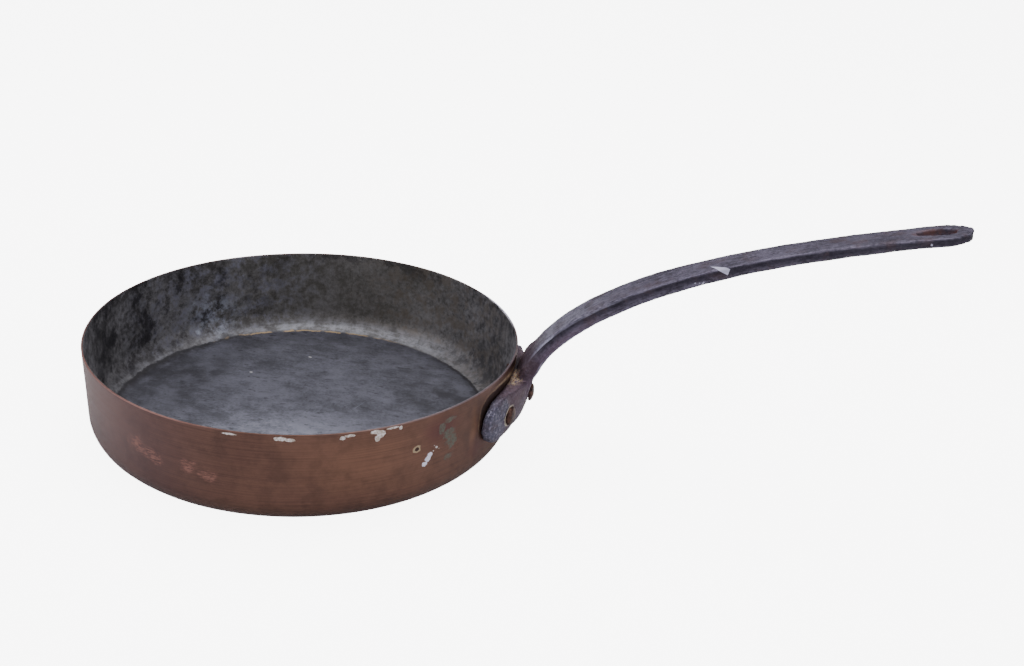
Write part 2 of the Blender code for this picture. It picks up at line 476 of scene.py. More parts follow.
# ------------------------------------------------------------------------------------------
# The pan's form, shared by its pieces and its finishes
# ------------------------------------------------------------------------------------------

@dataclass(frozen=True)
class PanForm:
    """The pan's wall as the frame gives it, with the hand-beaten unevenness of the real one."""

    rim_radius: float
    height: float
    base_radius: float = 0.1128
    corner_radius: float = 0.0160
    lip: float = 0.0005
    rim_thinning: float = 0.58
    uneven: tuple[tuple[int, float, float], ...] = (
        (1, 0.35 * MM, 0.2), (2, 0.45 * MM, 1.0), (3, 0.35 * MM, 2.4), (5, 0.15 * MM, 0.7))
    dent: float = 0.22 * MM
    dent_spread: float = 0.035
    calm_centre: float = 0.03

    @classmethod
    def from_frame(cls) -> PanForm:
        """Read the rim's radius and the height off the pan's own box.

        Returns:
            The form.
        """
        low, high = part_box("pan_body")
        return cls(rim_radius=(high[1] - low[1]) / 2, height=high[2] - low[2])

    def line(self, depth: float, corner_steps: int, wall_steps: int, base_steps: int
             ) -> list[tuple[float, float]]:
        """Give the wall's profile at a depth inside the outer face, from the centre to the rim.

        Args:
            depth: How far inside the outer face.
            corner_steps: Points round the corner.
            wall_steps: Points up the wall.
            base_steps: Points across the base.

        Returns:
            Points as (radius, height).
        """
        points = [(self.base_radius * step / base_steps, depth) for step in range(base_steps)]
        turn_radius = self.corner_radius - depth
        for step in range(corner_steps + 1):
            turn = math.pi / 2 * step / corner_steps
            points.append((self.base_radius + turn_radius * math.sin(turn),
                           self.corner_radius - turn_radius * math.cos(turn)))
        foot = Vector(points[-1])
        top = Vector((self.rim_radius - depth * self.rim_thinning, self.height - self.lip))
        points += [tuple(foot.lerp(top, step / wall_steps)) for step in range(1, wall_steps + 1)]
        return points

    def settle(self, point: Vector) -> Vector:
        """Move a point of the pan by the unevenness and the shallow dents of hand work.

        Args:
            point: The point on the true form.

        Returns:
            Where it goes.
        """
        radius = math.hypot(point.x, point.y)
        if radius < TINY:
            return point
        angle = math.atan2(point.y, point.x)
        rise = ease(point.z, 0.0, self.height)
        swell = sum(size * math.cos(count * angle - phase) for count, size, phase in self.uneven)
        dent = noise.noise(point / self.dent_spread) * self.dent
        on_wall = min(1.0, max(0.0, (radius - self.base_radius) / self.corner_radius))
        moved = radius + swell * rise + dent * on_wall
        lift = abs(dent) * (1.0 - on_wall) * min(1.0, radius / self.calm_centre)
        return Vector((point.x * moved / radius, point.y * moved / radius, point.z + lift))


def wall_point(form: PanForm, bearing: float, height: float, inside: bool = False) -> Vector:
    """Give a point on the pan's upright wall.

    Args:
        form: The pan's form.
        bearing: Degrees from the handle.
        height: Height over the base.
        inside: On the inner face, not the outer one.

    Returns:
        The point.
    """
    radius = form.rim_radius - (INNER_FACE if inside else OUTER_FACE)
    turn = math.radians(bearing)
    return Vector((radius * math.cos(turn), radius * math.sin(turn), height))


# ------------------------------------------------------------------------------------------
# Finishes
# ------------------------------------------------------------------------------------------

@dataclass(frozen=True)
class Texture:
    """A noise texture: features per metre, octaves, and how strong the finer octaves are."""

    scale: float
    detail: float = 4.0
    rough: float = 0.55
    stretch: tuple[float, float, float] | None = None


@dataclass(frozen=True)
class Sector:
    """A stretch of the pan's round: its middle and half width, in degrees from the handle."""

    bearing: float
    half_width: float


@dataclass(frozen=True)
class Spot:
    """A ragged spot, placed by its centre in the part's own frame."""

    centre: tuple[float, float, float]
    size: tuple[float, float, float]
    ragged: float = 1.0
    grain: float = 400.0
    soft: float = 0.4


@dataclass(frozen=True)
class Blemish:
    """A ragged spot on the pan's wall, placed by its bearing from the handle and its height."""

    bearing: float
    height: float
    half_width: float
    half_height: float
    ragged: float = 1.2
    grain: float = 900.0
    soft: float = 0.18
    inside: bool = False

    def spot(self, form: PanForm) -> Spot:
        """Place it on a pan's wall."""
        return Spot(tuple(wall_point(form, self.bearing, self.height, self.inside)),
                    (self.half_width, self.half_width, self.half_height), self.ragged, self.grain,
                    self.soft)


CREAM_CHIPS = (
    Blemish(-89.6, 56.5 * MM, 4.2 * MM, 0.7 * MM, 0.8),
    Blemish(-77.8, 56.0 * MM, 3.8 * MM, 1.4 * MM, 0.8),
    Blemish(-75.6, 55.4 * MM, 3.0 * MM, 1.2 * MM, 0.8),
    Blemish(-63.6, 55.3 * MM, 1.7 * MM, 1.4 * MM, 0.8),
    Blemish(-61.9, 56.3 * MM, 3.2 * MM, 0.9 * MM, 0.8),
    Blemish(-55.8, 56.4 * MM, 3.0 * MM, 1.3 * MM, 0.8),
    Blemish(-54.4, 54.8 * MM, 2.7 * MM, 2.6 * MM, 0.8),
    Blemish(-55.2, 52.4 * MM, 1.8 * MM, 2.2 * MM, 0.8),
    Blemish(-51.4, 57.0 * MM, 4.0 * MM, 0.7 * MM, 0.8),
    Blemish(-49.4, 56.0 * MM, 1.2 * MM, 1.5 * MM, 0.8),
    Blemish(-38.7, 36.6 * MM, 0.9 * MM, 0.8 * MM),
    Blemish(-39.4, 38.2 * MM, 0.5 * MM, 0.4 * MM),
    Blemish(-37.9, 35.2 * MM, 0.5 * MM, 0.4 * MM),
    Blemish(-39.7, 35.0 * MM, 0.6 * MM, 0.5 * MM),
)
LILAC_FLAKES = (
    Blemish(-40.6, 33.4 * MM, 1.7 * MM, 1.6 * MM, 1.2, 700.0),
    Blemish(-41.2, 31.0 * MM, 2.2 * MM, 2.2 * MM, 1.2, 700.0),
    Blemish(-42.1, 28.2 * MM, 2.0 * MM, 1.6 * MM, 1.2, 700.0),
)
BRIGHT_PATCHES = (
    Blemish(-116.0, 34.0 * MM, 10.0 * MM, 6.0 * MM, 1.4, 200.0, 0.8),
    Blemish(-111.0, 30.5 * MM, 10.0 * MM, 6.0 * MM, 1.4, 200.0, 0.8),
    Blemish(-100.5, 31.5 * MM, 7.0 * MM, 5.0 * MM, 2.0, 200.0, 0.8),
    Blemish(-95.5, 27.5 * MM, 10.0 * MM, 4.6 * MM, 2.0, 200.0, 0.8),
)
GREEN_PATCHES = (
    Blemish(-37.2, 47.6 * MM, 2.8 * MM, 4.2 * MM, 1.5, 300.0, 0.4),
    Blemish(-34.9, 51.0 * MM, 5.2 * MM, 2.0 * MM, 1.5, 300.0, 0.5),
    Blemish(-34.9, 42.6 * MM, 5.4 * MM, 4.0 * MM, 1.5, 300.0, 0.4),
    Blemish(-33.8, 37.2 * MM, 5.0 * MM, 5.4 * MM, 1.5, 300.0, 0.4),
    Blemish(-34.6, 27.5 * MM, 4.2 * MM, 2.8 * MM, 2.0, 300.0, 0.8),
)
RING_SPOT = Blemish(-44.6, 39.7 * MM, 3.0 * MM, 2.5 * MM, 0.9, 400.0, 0.2)
RING_HEART = Blemish(-44.6, 39.5 * MM, 1.7 * MM, 1.3 * MM, 0.9, 400.0, 0.25)
GOLDEN_CLOUD = Blemish(-58.0, 38.0 * MM, 62.0 * MM, 34.0 * MM, 0.8, 30.0, 1.0)
GOLDEN_STRIP = Blemish(-25.5, 36.0 * MM, 5.0 * MM, 26.0 * MM, 0.6, 60.0, 0.9)
RED_CLOUD = Blemish(-37.5, 47.0 * MM, 17.0 * MM, 12.0 * MM, 0.8, 60.0, 0.9)
LOW_RED_CLOUD = Blemish(-23.0, 24.0 * MM, 16.0 * MM, 12.0 * MM, 0.8, 60.0, 0.9)


class Finish:
    """A metal finish: one material, with its shader and the coordinates that it reads."""

    name = "metal"

    def __init__(self, effects: SharedEffects) -> None:
        """Make the material and its fixed nodes.

        Args:
            effects: The shared node groups.
        """
        self.effects = effects
        self.material = bpy.data.materials.new(self.name)
        self.material.use_nodes = True
        self.graph = Graph(self.material.node_tree)
        self.shader = self.material.node_tree.nodes["Principled BSDF"]
        self.place = self.graph.node("ShaderNodeTexCoord").outputs["Object"]

    def set_look(self, colour: object, roughness: object, metallic: object) -> None:
        """Feed the shader's three main inputs.

        Args:
            colour: The base colour.
            roughness: The roughness.
            metallic: How far it is metal.
        """
        self.graph.feed(self.shader.inputs["Base Color"], colour)
        self.graph.feed(self.shader.inputs["Roughness"], roughness)
        self.graph.feed(self.shader.inputs["Metallic"], metallic)

    def set_relief(self, height: object, depth: float, strength: float = 1.0) -> None:
        """Feed the shader's normal from a height mask.

        Args:
            height: The height, 0 to 1.
            depth: What 1 stands for, in metres.
            strength: How much of it shows.
        """
        bump = self.graph.node("ShaderNodeBump")
        bump.inputs["Strength"].default_value = strength
        bump.inputs["Distance"].default_value = depth
        self.graph.feed(bump.inputs["Height"], height)
        self.graph.feed(self.shader.inputs["Normal"], bump.outputs["Normal"])

    def noise(self, texture: Texture, place: object = None) -> bpy.types.NodeSocket:
        """Read a noise texture.

        Args:
            texture: Its settings.
            place: Where it is read, if not at the object's own coordinates.

        Returns:
            The noise, about 0.2 to 0.8.
        """
        where = self.place if place is None else place
        if texture.stretch is not None:
            where = self.graph.vector("MULTIPLY", where, texture.stretch)
        return self.graph.noise(where, texture.scale, texture.detail, texture.rough)

    def mottle(self, scale: float, threshold: float, soft: float) -> bpy.types.NodeSocket:
        """Mask cloudy patches.

        Args:
            scale: Patches per metre.
            threshold: How little of the surface they cover.
            soft: How soft their edges are.

        Returns:
            The mask.
        """
        made = self.graph.place(self.effects.mottle, Vector=self.place, Scale=scale,
                                Threshold=threshold, Soft=soft)
        return made.outputs["Mask"]

    def scratches(self, fine: float, amount: float) -> bpy.types.NodeSocket:
        """Mask long thin scratches."""
        made = self.graph.place(self.effects.scratches, Vector=self.place, Fine=fine, Amount=amount)
        return made.outputs["Mask"]

    def spot(self, spot: Spot) -> bpy.types.NodeSocket:
        """Mask one ragged spot."""
        made = self.graph.place(self.effects.spot, Vector=self.place, Centre=spot.centre,
                                Size=spot.size, Ragged=spot.ragged, Grain=spot.grain,
                                Soft=spot.soft)
        return made.outputs["Mask"]

    def spots(self, marks: Iterable[Spot]) -> bpy.types.NodeSocket:
        """Mask a set of ragged spots.

        Args:
            marks: The spots.

        Returns:
            The mask.
        """
        total: object = 0.0
        for mark in marks:
            total = self.graph.most(total, self.spot(mark))
        return total


class PanFinish(Finish):
    """A finish on the pan, which also knows radius, height and bearing."""

    def __init__(self, effects: SharedEffects, form: PanForm) -> None:
        """Make the material and read the turned coordinates.

        Args:
            effects: The shared node groups.
            form: The pan's form.
        """
        super().__init__(effects)
        self.form = form
        turned = self.graph.place(effects.turned, Vector=self.place)
        self.height, self.radius, self.sweep = (
            turned.outputs[name] for name in ("Height", "Radius", "Sweep"))

    def sector(self, sector: Sector) -> bpy.types.NodeSocket:
        """Mask a stretch of the pan's round."""
        made = self.graph.place(self.effects.bearing, Sweep=self.sweep, Bearing=sector.bearing,
                                Half_Width=sector.half_width)
        return made.outputs["Mask"]

    def lathe_marks(self, along: float, lines: float) -> bpy.types.NodeSocket:
        """Draw lines round the pan: how fast they change along it, and how many to a millimetre."""
        made = self.graph.place(self.effects.lathe_marks, Sweep=self.sweep, Across=self.height,
                                Along=along, Lines=lines)
        return made.outputs["Value"]

    def blemish(self, mark: Blemish) -> bpy.types.NodeSocket:
        """Mask one blemish on the wall."""
        return self.spot(mark.spot(self.form))

    def blemishes(self, marks: Iterable[Blemish]) -> bpy.types.NodeSocket:
        """Mask a set of blemishes on the wall."""
        return self.spots(mark.spot(self.form) for mark in marks)


class CopperFinish(PanFinish):
    """Old copper: brown patina brushed round the wall, with chips, green spots and bright scars."""

    name = "old_copper"
    shade = paint(82, 58, 52)
    warm = paint(111, 81, 69)
    # Painted reflection colour, for the left side and the foot.
    mauve = paint(104, 82, 86)
    red = paint(88, 54, 54)
    golden = paint(130, 94, 74)
    bright = paint(144, 102, 92)
    rim = paint(160, 120, 112)
    rim_worn = paint(150, 140, 150)
    cream = paint(224, 216, 216)
    crumb = paint(184, 170, 158)
    # Painted reflection of the pale floor, along the base.
    foot = paint(190, 170, 188)
    lilac = paint(226, 222, 240)
    green = paint(88, 88, 78)
    tan = paint(172, 153, 126)
    # Dark brown: the sooty clouds, the burnt underside and the ringed spot's heart, and also the
    # painted shadow round the plate.
    soot_and_shadow = paint(44, 33, 32)

    speckles = Texture(700.0, 3.0)
    chip_grains = Texture(800.0, 3.0)
    wobbles = Texture(160.0)
    breaks = Texture(420.0)

    left_side = Sector(-150.0, 66.0)
    rubbed_rim = Sector(-132.0, 56.0)
    worn_rim = Sector(-15.0, 62.0)
    bare_rim = Sector(31.0, 15.0)

    rim_edge = (0.75, 0.30)
    relief_depth = 0.12 * MM
    relief_strength = 0.8

    def __init__(self, effects: SharedEffects, form: PanForm) -> None:
        """Build the finish for a pan of this form.

        Args:
            effects: The shared node groups.
            form: The pan's form.
        """
        super().__init__(effects, form)
        g = self.graph
        self.brush = self.lathe_marks(along=2.2, lines=1.6)
        self.blotch = self.mottle(scale=62.0, threshold=0.55, soft=0.26)
        colour = self._patina()
        colour = self._scars(colour)
        colour, green = self._green_spots(colour)
        colour = self._rim(colour)
        colour = self._underside(colour)

        crust, gap_shadow = self._crust()
        # Painted shadow inside the plate's edge, then the tan residue line.
        colour = g.cover(colour, self.soot_and_shadow, gap_shadow)
        colour = g.cover(colour, self.tan, crust)
        colour, chips = self._chips(colour)

        dull = g.most(chips, g.most(crust, green))
        rough = g.plus(g.scale_to(self.brush, 0.34, 0.56), g.times(dull, 0.25))
        self.set_look(colour, rough, g.minus(0.82, g.times(dull, 0.78)))
        fine = self.lathe_marks(along=9.0, lines=6.0)
        relief = g.plus(g.times(fine, 0.35), g.times(self.blotch, 0.3))
        self.set_relief(g.plus(relief, g.times(dull, 1.2)), self.relief_depth, self.relief_strength)

    def _patina(self) -> bpy.types.NodeSocket:
        """Colour the wall: brown, brushed round, golden in front, with a painted mauve reflection
        to the left and below, and a painted pale reflection of the floor along the base.

        Returns:
            The wall's colour.
        """
        g = self.graph
        cloud = self.mottle(scale=16.0, threshold=0.5, soft=0.45)
        tone = g.plus(g.times(self.brush, 0.9), g.times(cloud, 0.34))
        colour = g.mix(g.step(tone, 0.25, 0.90), self.shade, self.warm)
        golden = g.times(self.blemish(GOLDEN_CLOUD), g.scale_to(self.brush, 0.0, 0.75))
        golden = g.most(golden, g.times(self.blemish(GOLDEN_STRIP), 0.75))
        colour = g.cover(colour, self.golden, golden)
        colour = g.cover(colour, self.soot_and_shadow, self.blotch, share=0.32)

        # Painted reflection: mauve over the left side and low on the wall, and the pale floor's
        # reflection just above the base.
        off_base = g.step(self.height, 0.5, 1.5)
        foot = g.times(g.step(self.height, 9.0, 2.0), off_base)
        mauve = g.most(g.times(self.sector(self.left_side), 0.85), foot)
        colour = g.cover(colour, self.mauve, mauve, share=0.6)
        shine = g.times(g.step(self.height, 4.8, 3.0), g.scale_to(self.brush, 0.5, 1.1))
        colour = g.cover(colour, self.foot, g.times(shine, off_base))

        heat = g.most(self.blemish(RED_CLOUD), g.times(self.blemish(LOW_RED_CLOUD), 0.8))
        heat = g.times(heat, g.scale_to(self.blotch, 0.75, 0.45))
        return g.cover(colour, self.red, heat)

    def _scars(self, colour: object) -> bpy.types.NodeSocket:
        """Add the bright scored patches and the fine scratches.

        Args:
            colour: The colour so far.

        Returns:
            The new colour.
        """
        g = self.graph
        scores = g.step(self.lathe_marks(along=30.0, lines=1.5), 0.44, 0.56)
        scar = g.times(self.blemishes(BRIGHT_PATCHES), g.scale_to(scores, 0.10, 0.85))
        scuff = g.times(self.scratches(fine=420.0, amount=0.45), 0.34)
        return g.cover(colour, self.bright, g.most(scar, scuff))

    def _green_spots(self, colour: object) -> tuple[bpy.types.NodeSocket, bpy.types.NodeSocket]:
        """Add the green corrosion and the ringed spot.

        Args:
            colour: The colour so far.

        Returns:
            The new colour, and the mask of the corrosion.
        """
        g = self.graph
        speckle = g.step(self.noise(self.speckles), 0.42, 0.58)
        green = g.times(self.blemishes(GREEN_PATCHES), g.scale_to(speckle, 0.45, 0.95))
        colour = g.cover(colour, self.green, green)
        heart = self.blemish(RING_HEART)
        halo = g.most(g.minus(self.blemish(RING_SPOT), heart), 0.0)
        colour = g.cover(colour, self.soot_and_shadow, heart, share=0.8)
        return g.cover(colour, self.tan, halo, share=0.8), green

    def _rim(self, colour: object) -> bpy.types.NodeSocket:
        """Rub the rim's edge bright: pink in front, grey by the handle, bare metal at the back.

        Args:
            colour: The colour so far.

        Returns:
            The new colour.
        """
        g = self.graph
        top = self.form.height / MM
        edge = g.step(self.height, top - self.rim_edge[0], top - self.rim_edge[1])
        rubbed = g.times(self.sector(self.rubbed_rim), g.scale_to(self.brush, 0.3, 1.2))
        colour = g.cover(colour, self.rim, g.times(edge, rubbed))
        worn = g.times(edge, self.sector(self.worn_rim))
        colour = g.cover(colour, self.rim_worn, worn, share=0.35)
        return g.cover(colour, self.lilac, g.times(edge, self.sector(self.bare_rim)))

    def _underside(self, colour: object) -> bpy.types.NodeSocket:
        """Burn the underside dark.

        Args:
            colour: The colour so far.

        Returns:
            The new colour.
        """
        g = self.graph
        burnt = self.mottle(scale=26.0, threshold=0.46, soft=0.3)
        under = g.times(g.step(self.height, 1.5, 0.3), g.scale_to(burnt, 0.35, 0.9))
        return g.cover(colour, self.soot_and_shadow, under)

    def _chips(self, colour: object) -> tuple[bpy.types.NodeSocket, bpy.types.NodeSocket]:
        """Add the cream chips below the rim and the lilac flakes.

        Args:
            colour: The colour so far.

        Returns:
            The new colour, and the mask of all the chips.
        """
        g = self.graph
        chips = self.blemishes(CREAM_CHIPS)
        grain = g.step(self.noise(self.chip_grains), 0.40, 0.60)
        colour = g.cover(colour, g.mix(grain, self.crumb, self.cream), chips)
        flake = self.blemishes(LILAC_FLAKES)
        return g.cover(colour, self.lilac, flake), g.most(chips, flake)

    def _crust(self) -> tuple[bpy.types.NodeSocket, bpy.types.NodeSocket]:
        """Mask the line of residue round the handle's plate, and the painted shadow inside it where
        the plate's edge stands off the wall.

        Returns:
            The two masks.
        """
        g = self.graph
        form = PLATE
        place = g.parts(self.place)
        side = g.times(g.maths("ABSOLUTE", place["Y"]), MILLIMETRES)
        past = g.most(g.minus(side, form.halo_centre / MM), 0.0)
        sag = g.times(g.step(side, 32.0, 6.0), form.halo_sag / MM)
        above = g.plus(g.minus(self.height, form.centre_height / MM), sag)
        flat = g.maths("POWER", g.maths("DIVIDE", past, form.halo_span / MM), form.squareness)
        rise = g.maths("DIVIDE", g.maths("ABSOLUTE", above), form.halo_rise / MM)
        tall = g.maths("POWER", rise, form.squareness)
        reach = g.maths("POWER", g.plus(flat, tall), 1.0 / form.squareness)
        reach = g.plus(reach, g.times(g.minus(self.noise(self.wobbles), 0.5), 0.10))
        outer = g.minus(reach, g.times(g.step(side, 42.0, 14.0), 0.07))
        band = g.times(g.step(reach, 0.98, 1.02), g.step(outer, 1.08, 1.04))
        low = g.step(above, -8.0, 2.0)
        front = g.step(place["X"], 0.09, 0.11)
        broken = g.scale_to(g.step(self.noise(self.breaks), 0.38, 0.52), 0.35, 1.0)
        line = g.times(g.times(band, low), g.times(front, broken))
        # Painted shadow on the wall inside the residue line, round the plate's edge.
        inside = g.times(g.step(reach, 1.03, 0.95), g.times(low, front))
        line = g.times(line, g.scale_to(g.step(side, 46.0, 22.0), 0.22, 0.62))
        return line, g.times(inside, 0.70)


class TinFinish(PanFinish):
    """Old wiped tin: streaked and stained, worn pale in the corner and tan at the floor's edge."""

    name = "old_tin"
    floor = paint(100, 100, 111)
    floor_front = paint(156, 157, 172)
    darker_floor = paint(50, 49, 55)
    floor_dark = paint(62, 62, 69)
    wall = paint(152, 150, 153)
    wall_dark = paint(78, 76, 77)
    black = paint(34, 32, 36)
    haze = paint(136, 136, 154)
    olive = paint(106, 102, 92)
    brown = paint(96, 84, 68)
    cove = paint(146, 147, 155)
    silver = paint(190, 196, 214)
    tan = paint(184, 156, 118)
    white = paint(232, 230, 230)

    clouds = Texture(26.0, 6.0, 0.6)
    patches = Texture(130.0, 6.0, 0.65)
    grains = Texture(620.0, 4.0, 0.6)
    crackles = Texture(330.0, 6.0, 0.72)
    stains = Texture(40.0, 9.0, 0.72)
    stain_shift = (0.3, 0.7, 0.1)
    streaks = Texture(1.0, 7.0, 0.7, stretch=(75.0, 165.0, 60.0))
    dashes = Texture(1.0, 4.0, 0.6, stretch=(150.0, 420.0, 100.0))
    floor_dimming = Texture(60.0, 6.0, 0.65)
    flecks = Texture(300.0, 5.0, 0.7)
    breaks = Texture(110.0)
    lumps = Texture(210.0, 7.0, 0.75)
    slow_wander = Texture(45.0, 3.0)
    quick_wander = Texture(240.0, 4.0, 0.7)

    olive_side = Sector(95.0, 60.0)
    rusty_side = Sector(58.0, 50.0)
    hazy_side = Sector(138.0, 44.0)
    stained_side = Sector(160.0, 62.0)
    dim_side = Sector(174.0, 60.0)
    hollow_side = Sector(160.0, 70.0)
    cove_side = Sector(86.0, 58.0)
    cove_left = Sector(165.0, 60.0)
    # Where painted shade and the painted shadow line fall along the crease.
    crease_shade_left = Sector(172.0, 62.0)
    crease_shade_right = Sector(25.0, 55.0)
    shadow_line_left = Sector(162.0, 52.0)
    shadow_line_right = Sector(30.0, 34.0)
    tan_side = Sector(106.0, 40.0)
    worn_rim = Sector(-30.0, 62.0)
    bare_rim = Sector(31.0, 15.0)

    crease_radius = 116.4
    crease_lean = 2.4
    crease_wander = 3.2
    crease_blur = 1.1
    rim_edge = (0.8, 0.4)
    relief_depth = 0.14 * MM
    relief_strength = 0.8

    pale_front = Spot((0.004, -0.052, 0.0), (0.098, 0.070, 0.05), 0.6, 30.0, 1.0)
    dim_floor = (
        Spot((0.076, 0.040, 0.0), (0.044, 0.034, 0.05), 1.4, 50.0, 0.9),
        Spot((-0.090, 0.026, 0.0), (0.040, 0.058, 0.05), 1.4, 50.0, 0.9))
    floor_specks = (
        Spot((-0.0506, 0.0404, 0.0024), (1.6 * MM, 0.8 * MM, 2.0 * MM), 1.0, 900.0, 0.5),
        Spot((-0.0204, 0.0732, 0.0024), (1.6 * MM, 0.8 * MM, 2.0 * MM), 1.0, 900.0, 0.5))
    wall_specks = tuple(
        Blemish(bearing, height, 0.8 * MM, 0.8 * MM, 0.8, 900.0, 0.3, inside=True)
        for bearing, height in ((176.5, 56.8 * MM), (150.0, 57.0 * MM), (172.0, 13.0 * MM),
                                (173.4, 12.4 * MM)))
    silver_streak = Blemish(138.0, 21.0 * MM, 32.0 * MM, 21.0 * MM, 1.0, 60.0, 1.0, inside=True)
    silver_spot = Blemish(143.8, 8.5 * MM, 3.5 * MM, 5.0 * MM, 0.8, 300.0, 0.7, inside=True)

    def __init__(self, effects: SharedEffects, form: PanForm) -> None:
        """Build the finish for a pan of this form.

        Args:
            effects: The shared node groups.
            form: The pan's form.
        """
        super().__init__(effects, form)
        g = self.graph
        self.cloud = self.noise(self.clouds)
        self.patch = self.noise(self.patches)
        self.grain = self.noise(self.grains)
        lean = g.parts(self.sweep)["X"]
        wander = g.plus(self.noise(self.slow_wander), self.noise(self.quick_wander))
        self.reach = g.plus(
            g.maths("MULTIPLY_ADD", lean, self.crease_lean, self.radius),
            g.maths("MULTIPLY_ADD", wander, self.crease_wander, -self.crease_wander))

        on_wall = g.step(self.reach, self.crease_radius - self.crease_blur,
                         self.crease_radius + self.crease_blur)
        colour = g.mix(on_wall, self._floor(), self._wall())
        colour = self._cove(colour)
        colour = self._crease_shade(colour)
        colour = self._tan_line(colour)
        colour = self._silver(colour)
        scratch = self.scratches(fine=360.0, amount=0.42)
        colour = g.cover(colour, self.silver, scratch, share=0.22)
        colour = self._rim(colour)
        specks = g.most(self.blemishes(self.wall_specks),
                        g.times(self.spots(self.floor_specks), 0.5))
        colour = g.cover(colour, self.white, specks)

        rough = g.scale_to(self.patch, 0.70, 0.36)
        self.set_look(colour, rough, g.minus(0.55, g.times(specks, 0.5)))
        relief = g.plus(g.times(self.patch, 0.8), g.times(self.grain, 0.5))
        self.set_relief(relief, self.relief_depth, self.relief_strength)

    def _floor(self) -> bpy.types.NodeSocket:
        """Colour the floor: blue-grey, fine streaks, palest towards the front.

        Returns:
            The floor's colour.
        """
        g = self.graph
        tone = g.plus(g.times(self.noise(self.streaks), 0.38),
                      g.plus(g.times(self.cloud, 0.40), g.times(self.grain, 0.22)))
        base = g.mix(g.step(tone, 0.38, 0.60), self.floor_dark, self.floor)
        front = g.times(self.spot(self.pale_front), g.scale_to(g.step(tone, 0.40, 0.60), 0.35, 1.0))
        base = g.cover(base, self.floor_front, front, share=0.85)
        # Darker towards the floor's edge, fading out towards the front, and in two patches at the
        # back.
        darker_floor = g.step(self.noise(self.floor_dimming), 0.42, 0.58)
        round_edge = g.times(g.step(self.reach, 66.0, 114.0), g.scale_to(darker_floor, 0.12, 0.42))
        round_edge = g.times(round_edge, g.step(g.parts(self.place)["Y"], -0.070, -0.010))
        base = g.cover(base, self.darker_floor, round_edge)
        dim = g.times(self.spots(self.dim_floor), g.scale_to(darker_floor, 0.25, 0.85))
        base = g.cover(base, self.darker_floor, dim)
        freckle = g.step(self.noise(self.dashes), 0.60, 0.67)
        return g.cover(base, self.black, freckle, share=0.55)

    def _wall(self) -> bpy.types.NodeSocket:
        """Colour the wall: mottled grey, black stains to the left, olive and brown to the right,
        darker over the far left, with painted shade low in the left corner.

        Returns:
            The wall's colour.
        """
        g = self.graph
        crackle = self.noise(self.crackles)
        tone = g.plus(g.times(self.cloud, 0.28),
                      g.plus(g.times(self.patch, 0.36), g.times(crackle, 0.36)))
        base = g.mix(g.step(tone, 0.41, 0.60), self.wall_dark, self.wall)
        base = g.cover(base, self.olive, self.sector(self.olive_side), share=0.45)
        rusty = g.times(self.sector(self.rusty_side), g.step(self.patch, 0.42, 0.62))
        base = g.cover(base, self.brown, rusty, share=0.6)
        hazy = g.times(self.sector(self.hazy_side), g.step(self.patch, 0.46, 0.60))
        hazy = g.times(hazy, g.scale_to(g.step(crackle, 0.42, 0.58), 0.25, 0.75))
        base = g.cover(base, self.haze, hazy)
        stain = self.noise(self.stains, g.vector("ADD", self.place, self.stain_shift))
        stain = g.step(stain, 0.47, 0.60)
        left = g.times(stain, self.sector(self.stained_side))
        top = g.times(g.step(stain, 0.2, 0.9), g.step(self.height, 44.0, 56.0))
        base = g.cover(base, self.black, g.most(g.times(left, 0.85), g.times(top, 0.5)))
        # Darker over the far left; painted shade low on the wall in the left corner, by the floor.
        far_left = g.times(self.sector(self.dim_side), 0.24)
        hollow = g.times(g.step(self.height, 17.0, 7.0),
                         g.scale_to(self.sector(self.hollow_side), 0.34, 0.62))
        return g.cover(base, self.black, g.most(far_left, hollow))

    def _cove(self, colour: object) -> bpy.types.NodeSocket:
        """Wear the corner between floor and wall pale.

        Args:
            colour: The colour so far.

        Returns:
            The new colour.
        """
        g = self.graph
        ring = self.crease_radius
        band = g.times(g.step(self.reach, ring - 1.0, ring + 1.6), g.step(self.height, 11.5, 3.5))
        rings = self.lathe_marks(along=7.0, lines=0.8)
        texture = g.plus(g.times(rings, 0.5), g.times(self.patch, 0.5))
        fleck = g.step(self.noise(self.flecks), 0.36, 0.56)
        band = g.times(band, g.scale_to(g.step(texture, 0.42, 0.56), 0.25, 1.0))
        band = g.times(band, g.scale_to(fleck, 0.55, 1.0))
        left = g.times(self.sector(self.cove_left), 0.24)
        band = g.times(band, g.most(self.sector(self.cove_side), left))
        return g.cover(colour, self.cove, band, share=0.85)

    def _crease_shade(self, colour: object) -> bpy.types.NodeSocket:
        """Add painted shade on the floor along its edge, and a darker painted shadow line at the
        crease.

        Args:
            colour: The colour so far.

        Returns:
            The new colour.
        """
        g = self.graph
        ring = self.crease_radius
        crease_shade = g.times(g.step(self.reach, ring - 7.0, ring - 1.0),
                       g.step(self.reach, ring + 0.8, ring - 0.3))
        crease_shade = g.times(crease_shade, g.most(self.sector(self.crease_shade_left),
                                    g.times(self.sector(self.crease_shade_right), 0.6)))
        crease_shade = g.times(crease_shade, g.scale_to(g.step(self.patch, 0.36, 0.56), 0.45, 0.95))
        # Painted shade on the floor side of the crease, left and right.
        colour = g.cover(colour, self.black, crease_shade)
        crease_shadow_line = g.times(g.step(self.reach, ring - 2.6, ring - 0.9),
                       g.step(self.reach, ring + 0.7, ring - 0.2))
        crease_shadow_line = g.times(crease_shadow_line, g.most(self.sector(self.shadow_line_left),
                                    self.sector(self.shadow_line_right)))
        return g.cover(colour, self.black, g.times(crease_shadow_line, g.scale_to(self.patch, 0.6, 1.2)))

